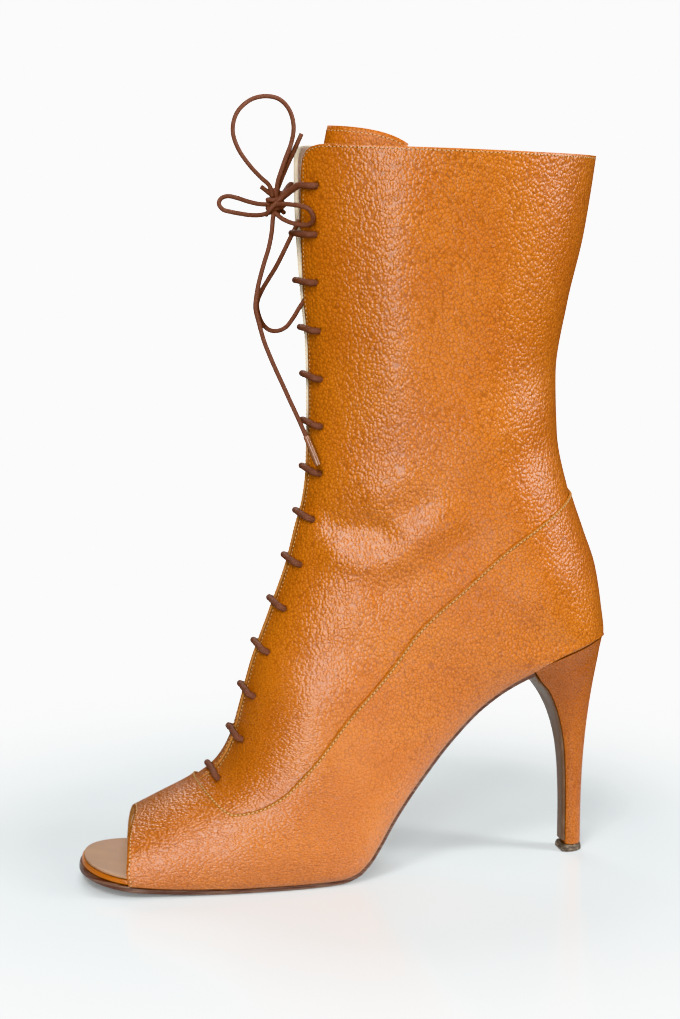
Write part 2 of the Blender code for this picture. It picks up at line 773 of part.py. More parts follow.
# The outsole thins from the tread to the shank between these stations.
TREAD_END = -8.0
SHANK_START = 12.0


def sole_thickness(x):
    """Return the outsole's thickness at a station."""
    stations = [BED[0].x, TREAD_END, SHANK_START, BED[-1].x]
    return float(smooth(stations, [SOLE_THICKNESS] * 2 + [SHANK_THICKNESS] * 2, x))


def breast_line(z):
    """Return the breast's x and the heel's half width at a height."""
    heights = column(HEEL, "breast_z") + [bed_height(BREAST_X)]
    xs = column(HEEL, "breast_x") + [BREAST_X]
    widths = [width * BREAST_SHARE for width in column(HEEL, "half_width")] + [edge(BREAST_X, 1.0)]
    return float(smooth(heights, xs, z)), float(smooth(heights, widths, z))


def breast_normal(z):
    """Return the forward normal of the breast in the side view."""
    reach = 0.5
    run = breast_line(z + reach)[0] - breast_line(z - reach)[0]
    length = math.hypot(run, 2.0 * reach)
    return -2.0 * reach / length, run / length


FLAP_SIDE = 0.3
FLAP_HEIGHTS = [78.0, 75.8, 73.6, 70.0, 66.5, 62.5, 58.0, 52.5, 47.0, 40.0, 33.0, 17.0, 5.0]
LAST_SOLE_STATION = 73.0


def make_outsole():
    """Make the outsole with its shank and the flap that covers the heel breast."""
    columns = 5
    stations = [x for x in round_stations(TOE_TIP_X, HEEL_END_X) if x < LAST_SOLE_STATION]
    stations.append(LAST_SOLE_STATION)
    upper_rows = []
    lower_rows = []
    for x in stations:
        across = np.linspace(edge(x, -1.0), edge(x, 1.0), columns)
        upper_rows.append([bed_point(x, y, 0.0) for y in across])
        lower_rows.append([bed_point(x, y, -sole_thickness(x)) for y in across])
    bend = BREAST_X - GAP
    bend_z = bed_height(bend)
    forward = breast_normal(bend_z - 1.0)
    rows = np.array([bed_normal(bend), forward])
    shift = np.linalg.solve(rows, np.array([-SHANK_THICKNESS, FLAP_THICKNESS]))
    across = np.linspace(edge(bend, -1.0), edge(bend, 1.0), columns)
    upper_rows.append([bed_point(bend, y, 0.0) for y in across])
    lower_rows.append([bed_point(bend, y, 0.0) + (shift[0], 0.0, shift[1]) for y in across])
    for z in FLAP_HEIGHTS:
        breast_x, half = breast_line(z)
        forward = breast_normal(z)
        across = np.linspace(-half + FLAP_SIDE, half - FLAP_SIDE, columns)
        rear = (breast_x + forward[0] * GAP, z + forward[1] * GAP)
        front = (rear[0] + forward[0] * FLAP_THICKNESS, rear[1] + forward[1] * FLAP_THICKNESS)
        upper_rows.append([np.array([rear[0], y, rear[1]]) for y in across])
        lower_rows.append([np.array([front[0], y, front[1]]) for y in across])
    make_slab("outsole", upper_rows, lower_rows, "sole")


HEEL_SHARES = [0.0, 0.12, 0.26, 0.42, 0.58, 0.73, 0.86, 0.95, 1.0]
HEEL_ROUND = 2.5


def d_ring(breast_x, breast_z, back_x, back_z, half_width):
    """Return a D-shaped ring: straight at the breast, full in the cheeks, round at the back."""
    ring = []
    sides = [(-1.0, share) for share in HEEL_SHARES]
    sides += [(1.0, share) for share in reversed(HEEL_SHARES[:-1])]
    for side, share in sides:
        x = breast_x + (back_x - breast_x) * share
        z = breast_z + (back_z - breast_z) * share
        cheek = min(share / CHEEK_SHARE, 1.0)
        fullness = BREAST_SHARE + (1.0 - BREAST_SHARE) * cheek * (2.0 - cheek)
        ring.append((x, side * half_width * fullness * (1.0 - share ** HEEL_ROUND) ** 0.5, z))
    return ring


def make_heel():
    """Make the heel block, with its seat cupped like the bed, and the top piece under it."""
    rings = []
    index = list(range(len(HEEL)))
    for level in np.linspace(0.0, len(HEEL) - 1.0, HEEL_LEVELS):
        values = [float(smooth(index, column(HEEL, name), level)) for name in Heel._fields]
        rings.append(d_ring(*values))
    seat_columns = 7
    seat = []
    for share in HEEL_SHARES[:-1]:
        x = BREAST_X + (HEEL_END_X - BREAST_X) * share
        across = np.linspace(edge(x, -1.0), edge(x, 1.0), seat_columns)
        seat.append([bed_point(x, y, 0.0) for y in across])
    tip = bed_point(HEEL_END_X, 0.0, 0.0)
    top = [row[0] for row in seat] + [tip] + [row[-1] for row in reversed(seat)]
    rings.append(top)
    count = len(rings[0])
    points = [point for ring in rings for point in ring]
    faces = [tuple(range(count))]
    for i in range(len(rings) - 1):
        for j in range(count - 1):
            a = i * count + j
            faces.append((a, a + 1, a + 1 + count, a + count))
        a = i * count
        faces.append((a + count - 1, a, a + count, a + 2 * count - 1))
    last = (len(rings) - 1) * count
    grid = []
    for k, row in enumerate(seat):
        line = [last + k]
        for point in row[1:-1]:
            line.append(len(points))
            points.append(point)
        line.append(last + count - 1 - k)
        grid.append(line)
    front = grid[0]
    fan = (last - count, *front, last - 1)
    faces.remove((last - 1, last - count, last, last + count - 1))
    faces.append(fan)
    for first, second in zip(grid, grid[1:]):
        for j in range(seat_columns - 1):
            faces.append((first[j], first[j + 1], second[j + 1], second[j]))
    middle = last + len(HEEL_SHARES) - 1
    for j in range(seat_columns - 1):
        faces.append((grid[-1][j], grid[-1][j + 1], middle))
    face_outward(make_object("heel", points, faces, "leather"))
    foot = HEEL[0]
    flare = TOP_PIECE_FLARE
    front = foot.breast_x - FLAP_THICKNESS
    ground = d_ring(front - flare, 0.0, foot.back_x + flare, 0.0, foot.half_width + flare)
    crown = d_ring(front, TOP_PIECE_HEIGHT, foot.back_x, TOP_PIECE_HEIGHT, foot.half_width)
    make_loft("top_piece", [ground, crown], "rubber")


# Tongue, from its root under the vamp to its round top: half width, and depth below the shaft surface
Tongue = namedtuple("Tongue", "t half_width depth")
TONGUE = [
    Tongue(1.50, 11.0, 2.4),
    Tongue(2.00, 12.0, 2.6),
    Tongue(2.60, 13.0, 4.0),
    Tongue(4.00, 16.0, 4.8),
    Tongue(8.00, 21.0, 5.0),
    Tongue(14.0, 27.0, 5.0),
    Tongue(18.0, 38.0, 6.2),
    Tongue(20.0, 47.0, 10.0),
    Tongue(21.6, 56.0, 14.5),
]
TONGUE_ROWS = [1.5, 2.0, 2.6, 3.0, 3.5, 4.0, 5.0, 6.0, 7.0, 8.0, 10.0, 12.0, 14.0, 16.0, 18.0, 19.0, 20.0]
TONGUE_ROWS += [20.6, 21.1, 21.55]
TONGUE_CORNER = 0.21


def make_tongue():
    """Make the tongue behind the lacing."""
    columns = 11
    rows_t = column(TONGUE, "t")
    outer = []
    inner = []
    for t in TONGUE_ROWS:
        half = float(smooth(rows_t, column(TONGUE, "half_width"), t))
        depth = float(smooth(rows_t, column(TONGUE, "depth"), t))
        fall = TONGUE_CORNER * max(t - T_COLLAR + 1.0, 0.0) ** 2
        outer_row = []
        inner_row = []
        for share in np.linspace(-1.0, 1.0, columns):
            side = -1.0 if share < 0.0 else 1.0
            row = t - fall * abs(share) ** 4
            outer_row.append(near_upper(row, side, abs(share) * half, -depth))
            inner_row.append(near_upper(row, side, abs(share) * half, -depth - TONGUE_THICKNESS))
        outer.append(outer_row)
        inner.append(inner_row)
    make_slab("tongue", outer, inner, "leather")


BAR_CLEARANCE = 0.35
BAR_STEPS = 9
BAR_SIDES = 6


def make_lace_bars():
    """Make one bar of lace over the throat at every pair of holes."""
    off = LACE_DIAMETER / 2.0 + BAR_CLEARANCE
    for number, t in enumerate(lace_row_positions(), start=1):
        reach = half_gap(t) + LACE_HOLE_INSET
        path = []
        for share in np.linspace(-1.0, 1.0, BAR_STEPS):
            side = -1.0 if share < 0.0 else 1.0
            path.append(near_upper(t, side, abs(share) * reach, off))
        make_tube(f"lace_bar_{number:02d}", path, LACE_DIAMETER, BAR_SIDES, "lace")


# Bow, tied in front of the two highest bars: the knot's middle and half sizes, and the runs of its cord
KNOT_MIDDLE = (-28.3, 0.0, 277.2)
KNOT_HALF = (5.5, 5.0, 7.0)
KNOT_RINGS = 9
KNOT_SIDES = 10
POLE_SHARE = 0.94
BOW = {
    "lace_loop_up": [
        (-31.0, 0.0, 284.4), (-34.6, 0.0, 287.4), (-39.1, 0.0, 292.2), (-43.2, 0.0, 298.0), (-45.5, 0.0, 304.2),
        (-45.1, 0.0, 309.8), (-42.6, 0.0, 314.4), (-37.8, 0.0, 318.0), (-32.1, 0.0, 319.2), (-26.6, 0.0, 318.0),
        (-22.6, 0.0, 313.8), (-20.9, 0.0, 307.6), (-21.8, 0.0, 301.2), (-24.2, 0.0, 294.9), (-26.2, 0.0, 289.4),
        (-27.4, 0.0, 285.0),
    ],
    "lace_loop_front": [
        (-34.4, 0.0, 276.2), (-40.1, 0.0, 277.3), (-45.3, 0.0, 279.1), (-49.8, 0.0, 279.3), (-51.4, 0.0, 277.1),
        (-49.0, 0.0, 274.4), (-41.3, 0.0, 272.0), (-33.3, 0.0, 271.6),
    ],
    "lace_loop_side": [
        (-28.2, -5.6, 276.4), (-24.0, -9.4, 276.2), (-19.2, -12.9, 275.4), (-16.1, -14.6, 273.3),
        (-16.8, -14.2, 270.3), (-20.0, -11.7, 268.8), (-24.6, -8.6, 269.0), (-28.0, -5.2, 271.6),
    ],
    "lace_end_long": [
        (-30.2, -3.2, 271.2), (-31.0, -5.2, 266.0), (-32.4, -6.0, 259.6), (-34.3, -6.2, 253.7),
        (-36.0, -6.4, 248.0), (-37.3, -6.6, 242.6), (-38.2, -7.0, 235.8), (-36.9, -7.0, 229.8),
        (-34.8, -7.2, 222.2), (-32.4, -7.4, 216.0), (-30.0, -7.6, 210.4), (-27.2, -8.0, 204.2),
        (-24.6, -8.6, 198.2), (-21.4, -9.8, 190.9), (-18.8, -11.2, 184.4), (-16.4, -12.8, 178.2),
        (-14.2, -14.0, 172.3),
    ],
    "lace_end_curl": [
        (-21.92, 0.0, 264.08), (-27.6, 0.0, 252.9), (-31.0, 0.0, 247.4), (-34.1, 0.0, 242.3), (-36.2, 0.0, 236.8),
        (-35.0, 0.0, 230.7), (-32.2, 0.0, 226.8), (-28.5, 0.0, 225.7), (-24.4, 0.0, 227.2), (-21.2, 0.0, 231.2),
    ],
}


def make_bow():
    """Make the knot, the loops and the free ends of the lace."""
    rings = []
    for turn in np.linspace(-POLE_SHARE, POLE_SHARE, KNOT_RINGS) * math.pi / 2.0:
        ring = []
        for k in range(KNOT_SIDES):
            spin = 2.0 * math.pi * k / KNOT_SIDES
            spoke = np.array([math.cos(turn) * math.cos(spin), math.cos(turn) * math.sin(spin), math.sin(turn)])
            ring.append(np.array(KNOT_MIDDLE) + spoke * np.array(KNOT_HALF))
        rings.append(ring)
    make_loft("lace_knot", rings, "lace")
    for name, path in BOW.items():
        make_cord(name, path, LACE_DIAMETER, "lace")


def build():
    """Make the whole boot in an empty scene."""
    for item in list(bpy.data.objects):
        bpy.data.objects.remove(item, do_unlink=True)
    make_outsole()
    make_heel()
    make_insole()
    make_upper()
    make_tongue()
    make_lace_bars()
    make_bow()


build()
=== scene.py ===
"""Looks of a peep-toe lace-up boot: grained leather, stitched seams, a laced throat and a tied bow."""

import logging
import math
from dataclasses import dataclass, field
from enum import Enum
from typing import Sequence, Union

import bmesh
import bpy
import numpy as np
from mathutils import Matrix, Vector
from mathutils.kdtree import KDTree


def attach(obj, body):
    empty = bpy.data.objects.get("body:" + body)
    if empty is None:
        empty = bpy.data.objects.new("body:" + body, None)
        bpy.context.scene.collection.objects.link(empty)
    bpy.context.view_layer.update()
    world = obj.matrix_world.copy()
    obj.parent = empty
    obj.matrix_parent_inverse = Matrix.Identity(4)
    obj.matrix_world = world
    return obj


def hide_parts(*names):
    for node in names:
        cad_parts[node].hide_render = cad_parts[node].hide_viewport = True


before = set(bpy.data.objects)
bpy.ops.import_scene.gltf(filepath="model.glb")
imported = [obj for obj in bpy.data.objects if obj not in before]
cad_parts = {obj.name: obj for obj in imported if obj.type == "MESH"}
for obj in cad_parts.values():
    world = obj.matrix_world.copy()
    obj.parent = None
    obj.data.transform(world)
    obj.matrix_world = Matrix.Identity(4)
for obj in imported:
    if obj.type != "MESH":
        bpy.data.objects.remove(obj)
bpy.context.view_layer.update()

log = logging.getLogger("boot")

MM = 0.001
ORIGIN = np.array([0.35, 3.68, 0.0])
BODY = "root"
# Heel breast: its x where it meets the bed, and its share of the heel's width
BREAST_X = 76.3
BREAST_SHARE = 0.72
# Distances in metres within which points are joined
WELD = 1e-5
CORD_WELD = 2e-6
# Angles in degrees from which edges stay sharp
SOFT_ANGLE = 60.0
FIRM_ANGLE = 50.0
HEEL_ANGLE = 42.0
COVER_ANGLE = 40.0
# Height of a normal below which a face belongs to the underside
UNDERSIDE = -0.5
QUARTER = math.pi / 2.0

Triple = tuple[float, float, float]
Profile = tuple[tuple[float, float], ...]
Pair = tuple[np.ndarray, np.ndarray]
Socket = bpy.types.NodeSocket
Shape = bmesh.types.BMesh
Value = Union[float, Sequence[float], Socket]


class Side(Enum):
    """The two halves of the boot, by the sign of their side axis."""

    LATERAL = -1.0
    MEDIAL = 1.0

    @property
    def other(self) -> "Side":
        """Give the half across."""
        return Side(-self.value)


class Slot(Enum):
    """The record's material slots."""

    LEATHER = "leather"
    SOLE = "sole"
    SOCK = "sock"
    RUBBER = "rubber"
    LACE = "lace"


def placed(points: np.ndarray) -> np.ndarray:
    """Turn millimetres of the boot's own axes into metres of the shared frame.

    Args:
        points: Points in millimetres, with the axes last.

    Returns:
        The same points in metres.
    """
    return (np.asarray(points, dtype=float) - ORIGIN) * MM


def ease(share: np.ndarray) -> np.ndarray:
    """Ease a share smoothly from 0 to 1.

    Args:
        share: Plain shares, which are cut to the range 0 to 1.

    Returns:
        The eased shares.
    """
    share = np.clip(share, 0.0, 1.0)
    return share * share * (3.0 - 2.0 * share)


def unit(vectors: np.ndarray) -> np.ndarray:
    """Bring vectors, with their axes last, to the length 1."""
    return vectors / np.linalg.norm(vectors, axis=-1, keepdims=True)


def running(line: np.ndarray) -> np.ndarray:
    """Give the running length at each point of a line."""
    return np.concatenate([[0.0], np.cumsum(np.linalg.norm(np.diff(line, axis=0), axis=1))])


def read(line: np.ndarray, run: np.ndarray, where: Union[float, np.ndarray]) -> np.ndarray:
    """Read a line between its points.

    Args:
        line: The line's points, with any number of values each.
        run: Growing coordinate of each point.
        where: One or more wanted coordinates.

    Returns:
        The values there, with the axes last.
    """
    return np.stack([np.interp(where, run, line[:, k]) for k in range(line.shape[1])], axis=-1)


class Track:
    """Values along one coordinate, read with a monotone cubic so that flat runs stay flat."""

    def __init__(self, xs: Sequence[float], ys: Sequence[float]) -> None:
        """Work out the slopes once.

        Args:
            xs: Growing coordinates.
            ys: The value at each coordinate.
        """
        self.xs = np.asarray(xs, dtype=float)
        self.ys = np.asarray(ys, dtype=float)
        step = np.diff(self.xs)
        rise = np.diff(self.ys) / step
        self.slope = np.zeros_like(self.ys)
        self.slope[0], self.slope[-1] = rise[0], rise[-1]
        for k in range(1, len(self.xs) - 1):
            if rise[k - 1] * rise[k] > 0.0:
                before = 2.0 * step[k] + step[k - 1]
                after = step[k] + 2.0 * step[k - 1]
                self.slope[k] = (before + after) / (before / rise[k - 1] + after / rise[k])
        self.step = step

    def __call__(self, x: Union[float, np.ndarray]) -> np.ndarray:
        """Read the track.

        Args:
            x: One or more coordinates.

        Returns:
            The values there.
        """
        x = np.clip(np.asarray(x, dtype=float), self.xs[0], self.xs[-1])
        k = np.clip(np.searchsorted(self.xs, x, side="right") - 1, 0, len(self.xs) - 2)
        h = self.step[k]
        u = (x - self.xs[k]) / h
        start = self.ys[k] * (1.0 + 2.0 * u) * (1.0 - u) ** 2 + self.slope[k] * h * u * (1.0 - u) ** 2
        return start + self.ys[k + 1] * u * u * (3.0 - 2.0 * u) + self.slope[k + 1] * h * u * u * (u - 1.0)


# Bed of the foot: station, height, rise of the edges
BED = (
    (-113.0, 7.6, 0.0), (-104.0, 6.1, 0.0), (-94.0, 4.8, 0.0), (-82.0, 3.7, 0.0), (-66.0, 2.8, 0.0),
    (-55.0, 2.5, 0.0), (-8.0, 2.5, 0.0), (-1.5, 3.6, 0.0), (4.5, 7.8, 0.0), (9.1, 13.6, 0.0),
    (16.1, 24.4, 0.0), (27.7, 39.7, 0.0), (40.7, 55.7, 0.0), (55.8, 70.2, 0.5), (72.5, 80.6, 1.5),
    (82.0, 84.2, 3.0), (92.0, 87.3, 4.0), (103.0, 91.0, 3.5), (111.9, 95.0, 0.0),
)
# Edges of the sole: station, lateral and medial half width
EDGES = (
    (-84.0, 26.5, 34.5), (-66.0, 28.3, 37.8), (-46.0, 29.6, 39.4), (-30.0, 30.0, 39.2),
    (-14.0, 28.8, 35.5), (0.0, 25.0, 29.5), (15.0, 20.0, 22.0), (30.0, 17.0, 17.5), (45.0, 16.5, 16.2),
    (60.0, 17.8, 17.6), (76.0, 22.0, 22.0), (88.0, 24.8, 24.8),
)
# Foot sections: ridge x and z, station, lateral and medial width, widest share, ridge y, crown, tuck
FOOT = (
    (-93.0, 24.1, -100.0, 26.0, 30.8, 0.70, 2.6, 1.95, 2.0),
    (-76.0, 32.6, -80.0, 29.8, 35.8, 0.70, 2.6, 1.92, 2.0),
    (-62.0, 39.6, -59.0, 32.0, 39.6, 0.70, 2.6, 1.92, 2.0),
    (-53.0, 46.6, -38.0, 33.8, 41.6, 0.70, 2.6, 1.95, 2.0),
    (-47.0, 57.6, -14.0, 34.2, 40.6, 0.68, 3.0, 2.0, 2.0),
    (-43.6, 71.0, 2.0, 32.4, 36.4, 0.63, 2.4, 2.0, 2.0),
    (-39.4, 88.0, 16.0, 30.2, 32.0, 0.56, 1.6, 2.0, 2.0),
    (-31.6, 110.0, 35.0, 28.6, 29.2, 0.51, 0.8, 2.0, 2.0),
    (-24.6, 130.0, 57.0, 28.4, 28.6, 0.51, 0.2, 2.0, 2.0),
    (-20.6, 146.0, 77.0, 29.0, 29.0, 0.53, 0.0, 2.0, 2.15),
    (-18.0, 155.0, 92.5, 29.5, 29.5, 0.51, 0.0, 2.0, 2.2),
    (-16.8, 162.0, 103.6, 29.75, 29.75, 0.48, 0.0, 2.0, 2.2),
    (-16.2, 168.0, 111.7, 30.0, 30.0, 0.455, 0.0, 2.0, 2.2),
)
# Shaft sections: ridge x and z, back x and z, half width, widest share, tuck
SHAFT = (
    (-15.9, 178.0, 110.2, 108.5, 30.3, 0.47, 2.2), (-15.7, 189.0, 107.4, 125.0, 30.6, 0.49, 2.2),
    (-15.7, 199.0, 101.9, 140.5, 30.9, 0.515, 2.2), (-15.8, 210.0, 96.0, 157.0, 31.0, 0.535, 2.15),
    (-16.2, 222.0, 90.6, 182.0, 31.4, 0.545, 2.05), (-17.6, 236.0, 89.8, 207.0, 32.0, 0.54, 2.0),
    (-19.0, 252.0, 94.4, 236.0, 33.2, 0.52, 2.0), (-20.4, 272.0, 101.0, 264.0, 34.6, 0.50, 2.0),
    (-21.2, 300.6, 105.9, 296.0, 36.0, 0.50, 2.0), (-21.4, 312.6, 107.3, 308.0, 36.4, 0.50, 2.0),
)
# Plan of the counter: height, half width, centre x, back x
COUNTER = (
    (95.6, 24.8, 88.0, 111.9), (101.0, 26.6, 84.0, 111.3), (108.5, 28.2, 79.0, 110.2),
    (117.0, 29.1, 74.0, 109.0), (125.0, 29.6, 70.0, 107.4), (133.0, 29.9, 66.5, 104.9),
    (140.5, 30.2, 64.0, 101.9), (157.0, 30.6, 58.0, 96.0), (182.0, 31.3, 50.0, 90.6),
)
# Share of the counter's plan in a section: row, share
COUNTER_SHARE = ((0.0, 0.0), (8.6, 0.0), (10.4, 1.0), (14.5, 1.0), (17.0, 0.0), (22.0, 0.0))
# Edge of the open toe: share of the way from ridge to bed, rows behind the first section on each side
TOE_EDGE = ((0.0, 0.28, 0.28), (0.25, 0.13, 0.38), (0.5, 0.05, 0.47), (0.8, 0.10, 0.56), (1.0, 0.28, 0.62))
# Throat: row, half width
THROAT = (
    (2.0, 0.0), (2.3, 0.9), (4.0, 1.6), (14.0, 2.0), (18.0, 2.6), (19.4, 5.0), (21.0, 8.0), (22.0, 8.4),
)
# Seam of the lower panel in the side view: x, z
SEAM = (
    (-64.0, 36.6), (-60.4, 33.6), (-53.5, 32.2), (-45.0, 33.4), (-33.5, 38.6), (-21.0, 50.4),
    (-5.0, 70.2), (11.0, 88.0), (25.0, 106.0), (43.0, 121.8), (64.0, 139.6), (84.0, 151.6),
    (99.5, 160.0),
)
# Heel sections: breast x and z, back x and z, half width
HEEL = (
    (97.0, 3.3, 104.6, 3.3, 5.8), (97.0, 17.0, 104.6, 18.0, 5.7), (96.6, 33.0, 105.0, 35.0, 6.2),
    (95.4, 47.0, 106.0, 50.0, 7.8), (93.0, 58.0, 107.4, 63.0, 10.0), (89.8, 66.5, 109.0, 74.5, 13.0),
    (85.6, 73.6, 110.7, 85.5, 17.6), (81.6, 78.0, 111.4, 90.4, 20.4),
)
# Tongue: row, half width, depth under the shaft's surface
TONGUE = (
    (1.5, 11.0, 2.4), (2.0, 12.0, 2.6), (2.6, 13.0, 4.0), (4.0, 16.0, 4.8), (8.0, 21.0, 5.0),
    (14.0, 27.0, 5.0), (18.0, 38.0, 6.2), (20.0, 47.0, 10.0), (21.6, 56.0, 14.5),
)
# Runs of the bow's cord, from the knot
BOW = {
    "lace_loop_up": (
        (-29.6, -0.6, 279.6), (-31.0, -0.3, 284.0), (-34.6, 0.0, 287.4), (-39.1, 0.0, 292.2),
        (-43.2, 0.0, 298.0), (-45.5, 0.0, 304.2), (-45.1, 0.0, 309.8), (-42.6, 0.0, 314.4),
        (-37.8, 0.0, 318.0), (-32.1, 0.0, 319.2), (-26.6, 0.0, 318.0), (-22.6, 0.0, 313.8),
        (-20.9, 0.0, 307.6), (-21.8, 0.0, 301.2), (-24.2, 0.0, 294.9), (-26.2, 0.0, 289.4),
        (-27.5, 0.3, 285.0), (-27.9, 0.8, 279.8),
    ),
    "lace_loop_front": (
        (-29.6, -0.4, 276.6), (-34.6, 0.2, 276.6), (-39.2, 1.4, 277.6), (-43.4, 2.4, 279.0),
        (-47.2, 2.8, 279.8), (-50.2, 1.9, 278.9), (-51.5, -0.2, 276.7), (-50.2, -2.3, 274.5),
        (-47.2, -3.2, 273.6), (-43.4, -3.0, 272.9), (-39.0, -2.6, 272.3), (-34.4, -1.6, 272.4),
        (-29.4, -0.8, 273.8),
    ),
    "lace_loop_side": (
        (-29.8, -2.0, 276.2), (-27.8, -6.0, 276.6), (-25.2, -10.6, 276.6), (-21.3, -15.5, 276.0),
        (-18.6, -17.1, 274.9), (-16.7, -16.9, 272.2), (-16.7, -15.0, 269.5), (-18.5, -12.5, 268.4),
        (-22.6, -9.9, 268.9), (-26.8, -6.2, 270.8), (-29.8, -1.8, 274.0),
    ),
    "lace_end_long": (
        (-29.0, -1.6, 275.4), (-30.2, -3.4, 271.0), (-31.0, -5.2, 266.0), (-32.4, -6.0, 259.6),
        (-34.3, -6.2, 253.7), (-36.0, -6.4, 248.0), (-37.3, -6.6, 242.6), (-38.2, -7.0, 235.8),
        (-36.9, -7.0, 229.8), (-34.8, -7.2, 222.2), (-32.4, -7.4, 216.0), (-30.0, -7.6, 210.4),
        (-27.2, -8.0, 204.2), (-24.6, -8.6, 198.2), (-21.4, -9.8, 190.9), (-18.8, -11.2, 184.4),
        (-16.4, -12.8, 178.2), (-14.2, -14.0, 172.3),
    ),
    "lace_end_curl": (
        (-18.6, 0.4, 270.2), (-21.9, 0.0, 264.1), (-27.6, 0.0, 252.9), (-31.0, 0.0, 247.4),
        (-34.1, 0.0, 242.3), (-36.2, 0.0, 236.8), (-35.0, 0.0, 230.7), (-32.2, 0.0, 226.8),
        (-28.5, 0.0, 225.7), (-24.4, 0.0, 227.2), (-21.2, -0.2, 231.2), (-18.6, -0.8, 235.6),
        (-15.6, -1.6, 239.8),
    ),
    "lace_tail_up": (
        (-29.6, 1.0, 274.8), (-28.4, 1.6, 279.2), (-26.2, 1.9, 285.0), (-23.6, 2.0, 291.0),
        (-20.4, 2.0, 297.8), (-17.2, 2.0, 304.6),
    ),
}
# Runs of the knot's cord about its middle: core, cross and stub
KNOT = (
    ((1.2, 0.6, -5.6), (0.4, -0.3, -2.4), (-0.3, 0.2, 0.4), (0.2, -0.2, 3.0), (-0.6, 0.3, 5.8)),
    ((-4.4, -1.2, -5.0), (-2.6, -3.8, -2.2), (1.2, -4.0, 1.4), (4.0, -1.6, 3.6), (3.0, 2.2, 3.2)),
    ((0.4, 0.8, 1.4), (-2.6, 0.6, 3.8), (-6.0, 0.2, 6.4)),
)


def columns(table: Sequence[Sequence[float]], *picks: int) -> list[list[float]]:
    """Pick columns of a table.

    Args:
        table: Rows of numbers.
        picks: Column numbers.

    Returns:
        One list for each column.
    """
    return [[row[k] for row in table] for k in picks]


def both_sides(table: Sequence[Sequence[float]]) -> dict[Side, Track]:
    """Give the tracks of the two halves, from a table's second and third column."""
    return {side: Track(*columns(table, 0, k)) for k, side in enumerate(Side, 1)}


